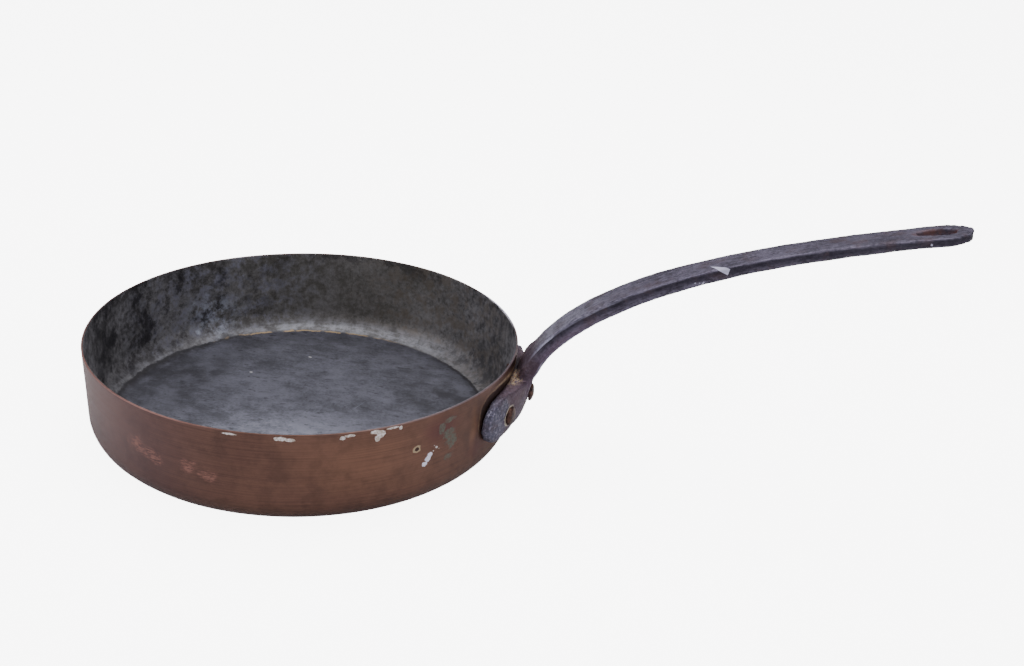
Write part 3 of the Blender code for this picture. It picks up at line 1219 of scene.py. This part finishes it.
    def _tan_line(self, colour: object) -> bpy.types.NodeSocket:
        """Draw the broken tan line at the back of the floor's edge.

        Args:
            colour: The colour so far.

        Returns:
            The new colour.
        """
        g = self.graph
        ring = self.crease_radius
        line = g.times(g.step(self.reach, ring - 1.0, ring - 0.2),
                       g.step(self.reach, ring + 1.0, ring + 0.2))
        line = g.times(line, self.sector(self.tan_side))
        line = g.times(line, g.step(self.noise(self.breaks), 0.40, 0.50))
        return g.cover(colour, self.tan, line, share=0.7)

    def _silver(self, colour: object) -> bpy.types.NodeSocket:
        """Scuff the tin bright at the left, with one clean spot in the corner.

        Args:
            colour: The colour so far.

        Returns:
            The new colour.
        """
        g = self.graph
        lumps = g.step(self.noise(self.lumps), 0.42, 0.64)
        streak = g.times(g.times(self.blemish(self.silver_streak), lumps), 0.70)
        shine = g.times(self.blemish(self.silver_spot), 0.9)
        return g.cover(colour, self.silver, g.most(streak, shine))

    def _rim(self, colour: object) -> bpy.types.NodeSocket:
        """Wear the rim's edge: grey by the handle, bare metal at the back.

        Args:
            colour: The colour so far.

        Returns:
            The new colour.
        """
        g = self.graph
        top = self.form.height / MM
        edge = g.step(self.height, top - self.rim_edge[0], top - self.rim_edge[1])
        worn = g.times(edge, g.times(self.sector(self.worn_rim), 0.18))
        sliver = g.times(self.sector(self.bare_rim), g.step(self.patch, 0.42, 0.5))
        colour = g.cover(colour, self.silver, worn)
        return g.cover(colour, self.white, g.times(edge, sliver))


class IronFinish(Finish):
    """Forged iron: drawn along the bar, pitted on the plate, rusty in the eye, with pale chips."""

    name = "forged_iron"
    dark = paint(58, 54, 66)
    light = paint(112, 106, 124)
    shadow = paint(38, 33, 44)
    # Painted shadow colour, for the crevice by the bar's root.
    gap_shadow = paint(26, 18, 20)
    violet = paint(112, 94, 112)
    blue = paint(96, 96, 114)
    pale = paint(176, 172, 192)
    rust = paint(96, 56, 46)
    brown = paint(78, 60, 62)
    boss = paint(90, 76, 90)
    boss_warm = paint(96, 76, 80)
    lilac = paint(206, 204, 228)
    tan = paint(172, 152, 122)
    cream = paint(220, 208, 190)

    draws = Texture(1.0, 6.0, 0.65, stretch=(150.0, 900.0, 900.0))
    long_draws = Texture(1.0, 4.0, 0.6, stretch=(60.0, 420.0, 420.0))
    pitting = Texture(560.0, 6.0, 0.70)
    crumbling = Texture(700.0, 3.0)
    breaks = Texture(260.0)

    bar_start = (0.138, 0.150)
    root_fade = (0.200, 0.150)
    far_fade = (0.240, 0.330)
    relief_depth = 0.55 * MM

    lobes = tuple(Spot((0.1225, side * 0.0395, 0.0325), (0.030, 0.0140, 0.0185), 0.22, 110.0, 0.22)
                  for side in (-1.0, 1.0))
    small_chips = tuple(
        Spot(centre, (size * MM,) * 3, 1.6, 900.0, 0.3)
        for centre, size in (((0.2300, -0.0108, 0.1233), 0.9), ((0.2325, -0.0106, 0.1236), 0.7),
                             ((0.2344, -0.0106, 0.1238), 1.0), ((0.2334, -0.0106, 0.1222), 0.6),
                             ((0.3515, -0.0112, 0.1612), 0.7)))
    long_chip = ((237.0, 2.6), (248.2, 11.8), (247.3, 15.6), (241.9, 11.2))
    crevice = Spot((0.1310, 0.010, 0.0490), (0.0022, 0.016, 0.0075), 0.3, 300.0, 0.4)
    root_crust = Spot((0.1315, -0.0095, 0.0488), (0.0070, 0.0125, 0.0062), 1.0, 500.0, 0.6)
    eye_back = 19.5 * MM
    eye_below = 5.0 * MM
    eye_size = (0.0145, 0.0062, 0.0070)

    def __init__(self, effects: SharedEffects, tip: Vector) -> None:
        """Build the finish for a handle.

        Args:
            effects: The shared node groups.
            tip: The highest corner of the handle's box, where its tip is.
        """
        super().__init__(effects)
        g = self.graph
        self.run = g.node("ShaderNodeAttribute", attribute_name="forging").outputs["Vector"]
        self.long_drawn = self.noise(self.long_draws, self.run)
        self.pits = self.noise(self.pitting)
        self.cloud = self.mottle(scale=50.0, threshold=0.5, soft=0.4)
        self.at = g.parts(self.place)
        self.bar = g.parts(self.run)
        self.over = g.times(self.bar["Z"], MILLIMETRES)
        self.on_bar = g.step(self.at["X"], *self.bar_start)
        self.near_root = g.step(self.at["X"], *self.root_fade)
        drawn = self.noise(self.draws, self.run)
        self.grain = g.plus(g.times(g.mix(self.on_bar, self.pits, drawn), 0.58),
                            g.times(self.pits, 0.42))

        plate = g.minus(1.0, self.on_bar)
        lobes = g.times(plate, self.spots(self.lobes))
        boss = g.times(plate, g.minus(1.0, lobes))
        colour = self._plate(self._bar(), lobes, boss)
        eye_centre = (tip.x - self.eye_back, 0.0, tip.z - self.eye_below)
        eye = self.spot(Spot(eye_centre, self.eye_size, 0.6, 300.0, 0.5))
        colour = g.cover(colour, self.rust, eye, share=0.85)
        # Edge wear, and the painted highlight on the near arris.
        colour = g.cover(colour, self.lilac, self._edge_wear_and_highlight())
        chip = g.most(self._long_chip(), g.times(self.spots(self.small_chips), 0.8))
        colour = g.cover(colour, self.lilac, chip, share=0.85)
        # Painted shadow in the crevice where the top of the plate meets the wall, by the bar's
        # root.
        colour = g.cover(colour, self.gap_shadow, self.spot(self.crevice), share=0.85)
        colour, crust = self._root_crust(colour)
        ring = self._rivet_ring()
        colour = g.cover(colour, self.cream, ring)

        dull = g.most(g.most(ring, crust), g.times(eye, 0.6))
        dull = g.most(dull, g.times(chip, 0.7))
        rough = g.plus(g.scale_to(self.grain, 0.72, 0.36), g.times(dull, 0.3))
        self.set_look(colour, rough, g.minus(0.78, g.times(dull, 0.72)))
        calm = g.scale_to(boss, 1.0, 0.28)
        relief = g.plus(g.times(self.grain, calm), g.times(self.long_drawn, 0.7))
        self.set_relief(relief, self.relief_depth)

    def _bar(self) -> bpy.types.NodeSocket:
        """Colour the bar: purple grey, dark along the flanks, pale on top by the root.

        Returns:
            The bar's colour.
        """
        g = self.graph
        tone = g.plus(g.times(self.grain, 0.9), g.times(self.cloud, 0.10))
        colour = g.mix(g.step(tone, 0.38, 0.62), self.dark, self.light)
        flank = g.times(g.step(self.over, -0.5, -1.6), g.step(self.over, -6.2, -2.0))
        colour = g.cover(colour, self.shadow, g.times(flank, self.on_bar), share=0.75)
        lit = g.times(g.times(self.near_root, self.on_bar), g.step(self.over, -0.9, -0.3))
        lit = g.times(lit, g.scale_to(g.step(self.grain, 0.42, 0.58), 0.15, 0.60))
        colour = g.cover(colour, self.pale, lit)
        violet = g.times(self.near_root, g.step(self.over, -3.0, -6.0))
        colour = g.cover(colour, self.violet, violet, share=0.55)
        return g.cover(colour, self.dark, g.step(self.at["X"], *self.far_fade), share=0.38)

    def _plate(self, colour: object, lobes: object, boss: object) -> bpy.types.NodeSocket:
        """Colour the plate: blue-grey pitted lobes, a smooth purple-brown boss, brown clouds.

        Args:
            colour: The colour so far.
            lobes: Mask of the lobes.
            boss: Mask of the boss.

        Returns:
            The new colour.
        """
        g = self.graph
        colour = g.cover(colour, self.blue, lobes, share=0.42)
        colour = g.cover(colour, g.mix(self.cloud, self.boss, self.boss_warm), boss, share=0.80)
        glint = g.times(lobes, g.step(self.pits, 0.55, 0.64))
        top_light = g.scale_to(g.step(self.at["Z"], 0.034, 0.047), 0.55, 0.95)
        colour = g.cover(colour, self.pale, g.times(glint, top_light))
        warm = self.mottle(scale=95.0, threshold=0.57, soft=0.16)
        return g.cover(colour, self.brown, warm, share=0.40)

    def _edge_wear_and_highlight(self) -> bpy.types.NodeSocket:
        """Mask the edges rubbed bright, above all the near one by the root, and the painted
        highlight along the near top arris by the root.

        Returns:
            The mask.
        """
        g = self.graph
        edge = g.node("ShaderNodeNewGeometry").outputs["Pointiness"]
        worn = g.times(g.step(edge, 0.52, 0.56), g.step(self.long_drawn, 0.42, 0.56))
        worn = g.times(worn, g.scale_to(self.near_root, 0.10, 0.85))
        worn = g.times(worn, g.scale_to(self.on_bar, 0.12, 1.0))
        # Painted highlight: a thin bright line along the near top arris, by the root.
        arris = g.times(g.step(self.over, -1.9, -1.3), g.step(self.over, -0.5, -1.0))
        arris = g.times(arris, g.step(self.bar["Y"], -0.004, -0.007))
        arris = g.times(arris, g.scale_to(g.step(self.long_drawn, 0.40, 0.54), 0.15, 0.75))
        arris = g.times(arris, g.times(self.near_root, self.on_bar))
        return g.most(worn, arris)

    def _long_chip(self) -> bpy.types.NodeSocket:
        """Mask the sharp-cornered chip that runs over the bar's near edge.

        Returns:
            The mask.
        """
        g = self.graph
        across = g.times(self.at["X"], MILLIMETRES)
        wrapped = g.times(g.plus(self.bar["Y"], self.bar["Z"]), -MILLIMETRES)
        corners = self.long_chip
        inside: object = 1.0
        for first, second in zip(corners, corners[1:] + corners[:1]):
            inside = g.maths("MINIMUM", inside, g.beside(across, wrapped, first, second))
        return g.step(inside, -0.1, 0.25)

    def _root_crust(self, colour: object) -> tuple[bpy.types.NodeSocket, bpy.types.NodeSocket]:
        """Add the crumbs of residue where the bar leaves the plate.

        Args:
            colour: The colour so far.

        Returns:
            The new colour, and the mask of the crumbs.
        """
        g = self.graph
        crumbs = self.noise(self.crumbling)
        crust = g.times(self.spot(self.root_crust), g.step(crumbs, 0.44, 0.54))
        crumb_colour = g.mix(g.step(crumbs, 0.54, 0.62), self.tan, self.rust)
        return g.cover(colour, crumb_colour, crust), crust

    def _rivet_ring(self) -> bpy.types.NodeSocket:
        """Mask the polish residue caught round the front rivet's head.

        Returns:
            The mask.
        """
        g = self.graph
        low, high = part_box("rivet_front")
        turn = RIVETS.turn
        out = Vector((math.cos(turn), -math.sin(turn), 0.0))
        centre = Vector((0.0, 0.0, (low[2] + high[2]) / 2)) + out * RIVETS.ring_distance
        spot = self.spot(Spot(tuple(centre), (RIVETS.ring_radius,) * 3, 0.25, 500.0, 0.12))
        left = g.scale_to(g.step(self.at["Y"], -0.022, -0.027), 0.25, 1.0)
        broken = g.step(self.noise(self.breaks), 0.34, 0.44)
        return g.times(g.times(spot, broken), left)


class RivetFinish(Finish):
    """Dull brown copper rivet, mottled and lightly scratched."""

    name = "rivet_copper"
    dark = paint(48, 35, 37)
    light = paint(92, 66, 57)
    grains = Texture(1500.0, 4.0, 0.6)
    metallic = 0.85
    relief_depth = 0.06 * MM

    def __init__(self, effects: SharedEffects) -> None:
        """Build the finish.

        Args:
            effects: The shared node groups.
        """
        super().__init__(effects)
        g = self.graph
        cloud = self.mottle(scale=260.0, threshold=0.5, soft=0.25)
        grain = self.noise(self.grains)
        colour = g.mix(cloud, self.dark, self.light)
        colour = g.cover(colour, self.light, self.scratches(fine=900.0, amount=0.5), share=0.4)
        self.set_look(colour, g.scale_to(grain, 0.34, 0.55), self.metallic)
        self.set_relief(grain, self.relief_depth)


# ------------------------------------------------------------------------------------------
# Pieces
# ------------------------------------------------------------------------------------------

@dataclass(frozen=True)
class PlateForm:
    """The outline of the handle's mounting plate, as the residue on the wall follows it."""

    centre_height: float = 0.0340
    halo_centre: float = 0.0320
    halo_span: float = 0.0180
    halo_rise: float = 0.0185
    halo_sag: float = 0.0022
    squareness: float = 4.0


@dataclass(frozen=True)
class RivetForm:
    """How the side rivets stand round the pan."""

    turn: float = math.radians(11.3)
    ring_distance: float = 0.1362
    ring_radius: float = 0.0070
    shank_radius: float = 0.0038
    head_radius: float = 0.0056
    head_height: float = 0.0030
    inner_radius: float = 0.0076
    inner_height: float = 0.0017
    head_gap: float = 0.0002
    inner_gap: float = 0.0004
    brim: float = 0.0008
    dish: float = 0.8


PLATE = PlateForm()
RIVETS = RivetForm()
RIVET_SEED = 10.0


def finish_mesh(name: str, bm: bmesh.types.BMesh, material: bpy.types.Material,
                crease: float = 40.0) -> bpy.types.Object:
    """Turn a bmesh into a named, smooth, dressed object.

    Args:
        name: The object's name.
        bm: Its bmesh, which is freed.
        material: What dresses it.
        crease: Edges sharper than this many degrees stay sharp.

    Returns:
        The object.
    """
    mesh = bpy.data.meshes.new(name)
    bm.to_mesh(mesh)
    bm.free()
    mesh.shade_smooth()
    mesh.set_sharp_from_angle(angle=math.radians(crease))
    mesh.materials.clear()
    mesh.materials.append(material)
    piece = bpy.data.objects.new(name, mesh)
    bpy.context.collection.objects.link(piece)
    return piece


def turn_profile(points: Sequence[tuple[float, float]], steps: int) -> bmesh.types.BMesh:
    """Spin an open (radius, height) line round Z into a closed body.

    Args:
        points: The line, with both its ends on the axis.
        steps: Faces round the axis.

    Returns:
        The body, its poles merged and its faces outwards.
    """
    bm = bmesh.new()
    verts = [bm.verts.new((radius, 0.0, height)) for radius, height in points]
    edges = [bm.edges.new(pair) for pair in zip(verts, verts[1:])]
    bmesh.ops.spin(bm, geom=verts + edges, cent=(0, 0, 0), axis=(0, 0, 1), angle=math.tau,
                   steps=steps, use_merge=True)
    bmesh.ops.remove_doubles(bm, verts=bm.verts, dist=TINY)
    bmesh.ops.recalc_face_normals(bm, faces=bm.faces)
    return bm


def bezier(corners: Sequence[tuple[float, float]], share: float) -> Vector:
    """Give a point of a cubic curve in the plane of the handle.

    Args:
        corners: The curve's four corners, as (x, z).
        share: How far along it, 0 to 1.

    Returns:
        The point.
    """
    rest = 1.0 - share
    weights = (rest ** 3, 3 * rest * rest * share, 3 * rest * share * share, share ** 3)
    x, z = (sum(weight * corner[axis] for weight, corner in zip(weights, corners))
            for axis in (0, 1))
    return Vector((x, 0.0, z))


def smooth(bm: bmesh.types.BMesh, verts: Iterable[bmesh.types.BMVert], rounds: int) -> None:
    """Soften some vertices, a half step at a time.

    Args:
        bm: The bmesh.
        verts: The vertices.
        rounds: How many half steps.
    """
    for _ in range(rounds):
        bmesh.ops.smooth_vert(bm, verts=verts, factor=0.5, use_axis_x=True, use_axis_y=True,
                              use_axis_z=True)


def move_points(bm: bmesh.types.BMesh, rule: Callable[[Vector], Vector]) -> None:
    """Move every vertex to where a rule sends it."""
    for vert in bm.verts:
        vert.co = rule(vert.co.copy())


@dataclass
class Pan:
    """The copper shell and its tin lining."""

    form: PanForm
    copper: CopperFinish
    tin: TinFinish
    copper_depth: float = 0.00185
    tin_depth: float = 0.0023
    steps: int = 300
    corner_steps: int = 12
    wall_steps: int = 26
    base_steps: int = 20
    lining_drop: float = 0.1 * MM
    lip_turns: tuple[int, ...] = (22, 45, 68, 90, 112, 135, 158)

    def _skin(self, outer: float, inner: float, drop: float) -> bmesh.types.BMesh:
        """Turn a skin between two depths, with a rounded lip at the rim.

        Args:
            outer: Depth of its outer face.
            inner: Depth of its inner face.
            drop: How far its lip lies below the rim.

        Returns:
            The skin.
        """
        rise, fall = (self._face(depth, drop) for depth in (outer, inner))
        middle = (rise[-1][0] + fall[-1][0]) / 2
        half = (rise[-1][0] - fall[-1][0]) / 2
        top = rise[-1][1]
        lip = [(middle + half * math.cos(turn), top + self.form.lip * math.sin(turn))
               for turn in map(math.radians, self.lip_turns)]
        bm = turn_profile(rise + lip + fall[::-1], self.steps)
        move_points(bm, self.form.settle)
        return bm

    def _face(self, depth: float, drop: float) -> list[tuple[float, float]]:
        """Give one face's profile, with its upper half let down.

        Args:
            depth: How far inside the outer face it lies.
            drop: How far the upper half is let down.

        Returns:
            Points as (radius, height), from the centre to the rim.
        """
        line = self.form.line(depth, self.corner_steps, self.wall_steps, self.base_steps)
        return [(radius, height - drop if height > self.form.height / 2 else height)
                for radius, height in line]

    def build(self) -> None:
        """Make and dress the shell and the lining."""
        shell = finish_mesh("copper_shell", self._skin(0.0, self.copper_depth, 0.0),
                            self.copper.material)
        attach(shell, "root")
        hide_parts("pan_body")
        skin = self._skin(self.copper_depth, self.tin_depth, self.lining_drop)
        lining = finish_mesh("tinned_inside", skin, self.tin.material)
        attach(lining, "root")
        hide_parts("tin_lining")


@dataclass
class Handle:
    """The forged handle: its CAD solid, closed up, softened and given its hammer marks."""

    finish: IronFinish
    grid: float = 0.00075
    smooth_all: int = 2
    smooth_root: int = 6
    root_limit: float = 0.148
    root_top: float = 0.056
    bar_start: float = 0.138
    bar_blend: float = 0.02
    hammer: float = 0.32 * MM
    hammer_grain: float = 62.0
    draw_marks: float = 0.12 * MM
    long_grain: tuple[float, float, float] = (60.0, 420.0, 420.0)
    fine_grain: tuple[float, float, float] = (190.0, 1000.0, 1000.0)
    fine_share: float = 0.5
    pits: float = 0.16 * MM
    pit_grain: float = 480.0
    small_pit_grain: float = 900.0
    small_pit_share: float = 0.6
    pits_off_bar: float = 0.5
    tip_start: float = 0.364
    tip_blend: float = 0.006
    tip_grain: float = 260.0
    tip_lumps: float = 0.55 * MM
    tip_notch: tuple[float, float, float] = (0.3728, -0.003, 0.1690)
    notch_reach: float = 0.0030
    notch_depth: float = 0.9 * MM
    root_flare: float = 2.1 * MM
    flare_across: tuple[float, float] = (-0.004, 0.006)
    flare_rise: tuple[float, float] = (0.044, 0.051)
    flare_end: tuple[float, float] = (0.068, 0.058)
    flare_facing: tuple[float, float] = (-0.2, -0.6)
    belly: float = 0.55 * MM
    belly_depth: tuple[float, float] = (-0.0022, -0.0045)
    belly_end: tuple[float, float] = (0.350, 0.330)
    top_line: tuple[tuple[float, float], ...] = (
        (0.1370, 0.0584), (0.1500, 0.0907), (0.2084, 0.1360), (0.3742, 0.1692))
    top_line_steps: int = 240
    line: list[tuple[float, Vector, Vector]] = field(default_factory=list)
    tree: kdtree.KDTree | None = None
    faces: int = 0

    def _closed_copy(self) -> bmesh.types.BMesh:
        """Merge a copy of the CAD handle and remesh it on a fine grid.

        Returns:
            The closed body.
        """
        node = bpy.data.objects["handle"]
        copy = bpy.data.objects.new("handle_blank", node.data.copy())
        bpy.context.collection.objects.link(copy)
        merged = bmesh.new()
        merged.from_mesh(copy.data)
        bmesh.ops.remove_doubles(merged, verts=merged.verts, dist=TINY)
        merged.to_mesh(copy.data)
        merged.free()
        remesh = copy.modifiers.new("grid", "REMESH")
        remesh.mode = "VOXEL"
        remesh.voxel_size = self.grid
        evaluated = copy.evaluated_get(bpy.context.evaluated_depsgraph_get())
        bm = bmesh.new()
        bm.from_mesh(evaluated.to_mesh())
        evaluated.to_mesh_clear()
        bpy.data.objects.remove(copy, do_unlink=True)
        return bm

    def _trace_top_line(self) -> None:
        """Sample the bar's top line, so that a point can be placed along it."""
        steps = self.top_line_steps
        travelled = 0.0
        self.tree = kdtree.KDTree(steps + 1)
        for step in range(steps + 1):
            place = bezier(self.top_line, step / steps)
            ahead = bezier(self.top_line, step / steps + 0.001) - place
            if self.line:
                travelled += (place - self.line[-1][1]).length
            self.line.append((travelled, place, Vector((-ahead.z, 0.0, ahead.x)).normalized()))
            self.tree.insert(place, step)
        self.tree.balance()

    def _forging_place(self, point: Vector) -> Vector:
        """Give a point's place in the bar.

        Args:
            point: The point.

        Returns:
            How far it lies along, across and over the bar's top line.
        """
        _, index, _ = self.tree.find(Vector((point.x, 0.0, point.z)))
        travelled, place, up = self.line[index]
        offset = Vector((point.x, 0.0, point.z)) - place
        slide = offset - up * offset.dot(up)
        sign = 1.0 if slide.x > 0 else -1.0
        return Vector((travelled + slide.length * sign, point.y, offset.dot(up)))

    def _marks(self, point: Vector, place: Vector, on_bar: float) -> float:
        """Work out how far the forging's marks push the surface out.

        Args:
            point: The point.
            place: Its place in the bar.
            on_bar: 1 on the bar, 0 on the plate.

        Returns:
            The push, in metres.
        """
        long_marks = noise.noise(place * Vector(self.long_grain))
        fine_marks = noise.noise(place * Vector(self.fine_grain))
        pits = noise.noise(point * self.pit_grain)
        pits += self.small_pit_share * noise.noise(point * self.small_pit_grain)
        push = self.hammer * noise.noise(point * self.hammer_grain)
        push += on_bar * self.draw_marks * (long_marks + self.fine_share * fine_marks)
        push += (1.0 - self.pits_off_bar * on_bar) * self.pits * pits
        at_tip = share_between(point.x, self.tip_start, self.tip_start + self.tip_blend)
        push += at_tip * self.tip_lumps * noise.noise(point * self.tip_grain)
        notch = (point - Vector(self.tip_notch)).length / self.notch_reach
        return push - max(0.0, 1.0 - notch * notch) * self.notch_depth

    def _hammered(self, point: Vector, normal: Vector) -> Vector:
        """Push a point along its normal: hammer marks, the flare at the root and the full belly.

        Args:
            point: The point.
            normal: Its normal.

        Returns:
            Where it goes.
        """
        place = self._forging_place(point)
        on_bar = share_between(point.x, self.bar_start, self.bar_start + self.bar_blend)
        moved = point + normal * self._marks(point, place, on_bar)
        flare = ease(point.y, *self.flare_across) * ease(point.z, *self.flare_rise)
        flare *= ease(point.z, *self.flare_end) * ease(normal.x, *self.flare_facing)
        belly = on_bar * ease(place.z, *self.belly_depth) * ease(point.x, *self.belly_end)
        return moved + normal * (self.root_flare * flare + self.belly * belly)

    def build(self) -> None:
        """Make and dress the handle."""
        self._trace_top_line()
        bm = self._closed_copy()
        smooth(bm, bm.verts, self.smooth_all)
        root = [vert for vert in bm.verts
                if vert.co.x < self.root_limit and vert.co.z < self.root_top]
        smooth(bm, root, self.smooth_root)
        bm.normal_update()
        moved = [self._hammered(vert.co, vert.normal) for vert in bm.verts]
        layer = bm.verts.layers.float_vector.new("forging")
        for vert, place in zip(bm.verts, moved):
            vert.co = place
            vert[layer] = self._forging_place(place)
        handle = finish_mesh("forged_handle", bm, self.finish.material, crease=180.0)
        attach(handle, "root")
        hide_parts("handle")
        self.faces = len(handle.data.polygons)


@dataclass
class Rivet:
    """One copper rivet, peened outside and broad and flat inside."""

    node: str
    turn: float
    finish: RivetFinish
    form: RivetForm = RIVETS
    seed: float = 0.0
    inner_steps: int = 6
    crown_steps: int = 8
    turns: int = 40
    peen_grain: float = 330.0
    peen_depth: tuple[float, float] = (0.05, 0.00022)

    def _profile(self, bottom: float, seat: float) -> list[tuple[float, float]]:
        """Give the rivet's half outline along its own axis.

        Args:
            bottom: Where its inner end is.
            seat: Where its outer head sits.

        Returns:
            Points as (radius, distance along the axis).
        """
        form = self.form
        inner_seat = bottom + form.inner_height + form.inner_gap
        points = [(0.0, bottom)]
        for step in range(1, self.inner_steps + 1):
            turn = math.pi / 2 * step / self.inner_steps
            points.append((form.inner_radius * math.sin(turn),
                           bottom + form.inner_height * (1.0 - math.cos(turn)) * form.dish))
        points += [(form.inner_radius, inner_seat), (form.shank_radius, inner_seat),
                   (form.shank_radius, seat), (form.head_radius, seat)]
        for step in range(self.crown_steps):
            turn = math.pi / 2 * step / self.crown_steps
            points.append((form.head_radius * math.cos(turn),
                           seat + form.brim + (form.head_height - form.brim) * math.sin(turn)))
        points.append((0.0, seat + form.head_height))
        return points

    def build(self) -> None:
        """Make the rivet on its CAD node's axis and dress it."""
        low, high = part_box(self.node)
        out = Vector((math.cos(self.turn), math.sin(self.turn), 0.0))
        spread = [vert.co.dot(out) for vert in bpy.data.objects[self.node].data.vertices]
        seat = max(spread) - self.form.head_height - self.form.head_gap
        bm = turn_profile(self._profile(min(spread), seat), self.turns)
        bmesh.ops.subdivide_edges(bm, edges=bm.edges, cuts=1, use_grid_fill=True)
        across, along = self.peen_depth
        for vert in bm.verts:
            place = Vector((vert.co.x, vert.co.y, vert.co.z + self.seed))
            dent = noise.noise(place * self.peen_grain)
            if vert.co.z > seat:
                vert.co += Vector((vert.co.x * across, vert.co.y * across, along)) * dent
        middle = (low[2] + high[2]) / 2
        seated = (Matrix.Rotation(self.turn, 4, "Z") @ Matrix.Translation((0.0, 0.0, middle))
                  @ Matrix.Rotation(math.pi / 2, 4, "Y"))
        bmesh.ops.transform(bm, matrix=seated, verts=bm.verts)
        piece = finish_mesh(f"{self.node}_peened", bm, self.finish.material, crease=50.0)
        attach(piece, "root")
        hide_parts(self.node)


# ------------------------------------------------------------------------------------------
# Studio
# ------------------------------------------------------------------------------------------

@dataclass(frozen=True)
class SoftBox:
    """A square studio light that points at the pan."""

    name: str
    place: tuple[float, float, float]
    size: float
    power: float
    tint: Colour = WHITE
    aim: tuple[float, float, float] = (0.05, 0.0, 0.05)

    def build(self) -> None:
        """Hang the light."""
        light = bpy.data.lights.new(self.name, "AREA")
        light.shape = "SQUARE"
        light.size = self.size
        light.energy = self.power
        light.color = self.tint
        lamp = bpy.data.objects.new(self.name, light)
        lamp.location = self.place
        towards = Vector(self.aim) - Vector(self.place)
        lamp.rotation_euler = towards.to_track_quat("-Z", "Y").to_euler()
        bpy.context.collection.objects.link(lamp)


@dataclass
class Studio:
    """A pale floor, soft light from above and a plain pale surround."""

    floor_size: float = 6.0
    floor_drop: float = 0.0002
    floor_grey: float = 0.80
    floor_rough: float = 0.9
    floor_shine: float = 0.1
    floor_glow: float = 7.0
    back_glow: float = 8.0
    surround_light: float = 0.8
    surround_low: Colour = (0.30, 0.30, 0.33)
    surround_high: Colour = (0.75, 0.75, 0.80)
    boxes: tuple[SoftBox, ...] = (
        SoftBox("overhead", (0.10, 0.25, 1.30), 1.1, 16.0),
        SoftBox("left_fill", (-1.30, -0.70, 0.80), 0.9, 8.0, (0.95, 0.95, 1.0)),
        SoftBox("right_fill", (1.20, -0.90, 0.90), 0.7, 5.0),
    )

    def _floor(self) -> None:
        """Lay the floor."""
        bm = bmesh.new()
        bmesh.ops.create_grid(bm, x_segments=1, y_segments=1, size=self.floor_size / 2,
                              matrix=Matrix.Translation((0, 0, -self.floor_drop)))
        material = bpy.data.materials.new("pale_floor")
        material.use_nodes = True
        g = Graph(material.node_tree)
        shader = material.node_tree.nodes["Principled BSDF"]
        seen = g.node("ShaderNodeLightPath").outputs["Is Camera Ray"]
        for name, value in (("Base Color", (self.floor_grey,) * 3), ("Roughness", self.floor_rough),
                            ("Specular IOR Level", self.floor_shine), ("Emission Color", WHITE),
                            ("Emission Strength", g.times(seen, self.floor_glow))):
            g.feed(shader.inputs[name], value)
        floor = finish_mesh("floor", bm, material)

    def _surround(self) -> None:
        """Set the pale surround: brighter overhead than low down."""
        world = bpy.data.worlds.new("studio")
        bpy.context.scene.world = world
        world.use_nodes = True
        g = Graph(world.node_tree)
        background = world.node_tree.nodes["Background"]
        output = world.node_tree.nodes["World Output"]
        towards = g.parts(g.node("ShaderNodeTexCoord").outputs["Generated"])
        up = g.step(towards["Z"], -0.05, 0.9)
        g.feed(background.inputs["Color"], g.mix(up, self.surround_low, self.surround_high))
        g.feed(background.inputs["Strength"], self.surround_light)
        seen = g.node("ShaderNodeBackground")
        g.feed(seen.inputs["Color"], WHITE)
        g.feed(seen.inputs["Strength"], self.back_glow)
        blend = g.node("ShaderNodeMixShader")
        g.feed(blend.inputs[0], g.node("ShaderNodeLightPath").outputs["Is Camera Ray"])
        g.feed(blend.inputs[1], background.outputs[0])
        g.feed(blend.inputs[2], seen.outputs[0])
        g.feed(output.inputs["Surface"], blend.outputs[0])

    def build(self) -> None:
        """Set up the floor, the lights and the surround."""
        self._floor()
        self._surround()
        for box in self.boxes:
            box.build()


@dataclass(frozen=True)
class Viewpoint:
    """The camera: where it stands and how it is turned."""

    place: tuple[float, float, float] = (0.2122, -0.6532, 0.3766)
    heading: float = math.radians(7.382)
    down: float = math.radians(24.709)
    roll: float = math.radians(4.10)
    lens: float = 42.86
    sensor: float = 36.0
    nearest: float = 0.01

    def build(self) -> None:
        """Place the camera and make it the scene's own."""
        camera = bpy.data.cameras.new("view")
        camera.lens = self.lens
        camera.sensor_width = self.sensor
        camera.clip_start = self.nearest
        holder = bpy.data.objects.new("view", camera)
        holder.matrix_world = (Matrix.Translation(self.place)
                               @ Matrix.Rotation(self.heading, 4, "Z")
                               @ Matrix.Rotation(math.pi / 2 - self.down, 4, "X")
                               @ Matrix.Rotation(self.roll, 4, "Z"))
        bpy.context.collection.objects.link(holder)
        bpy.context.scene.camera = holder


def main() -> None:
    """Build the saucepan, then the studio and the camera."""
    logging.basicConfig(level=logging.INFO, format="%(name)s: %(message)s")
    form = PanForm.from_frame()
    effects = SharedEffects()
    pan = Pan(form, CopperFinish(effects, form), TinFinish(effects, form))
    pan.build()
    log.info("pan: rim radius %.1f mm, height %.1f mm", form.rim_radius / MM, form.height / MM)
    _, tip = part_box("handle")
    handle = Handle(IronFinish(effects, Vector(tip)))
    handle.build()
    log.info("handle: %d faces", handle.faces)
    rivet_finish = RivetFinish(effects)
    for node, turn in (("rivet_front", -RIVETS.turn), ("rivet_centre", 0.0),
                       ("rivet_rear", RIVETS.turn)):
        Rivet(node, turn, rivet_finish, seed=RIVET_SEED + turn).build()
        log.info("rivet: %s", node)
    Studio().build()
    Viewpoint().build()


if __name__ == "__main__":
    main()
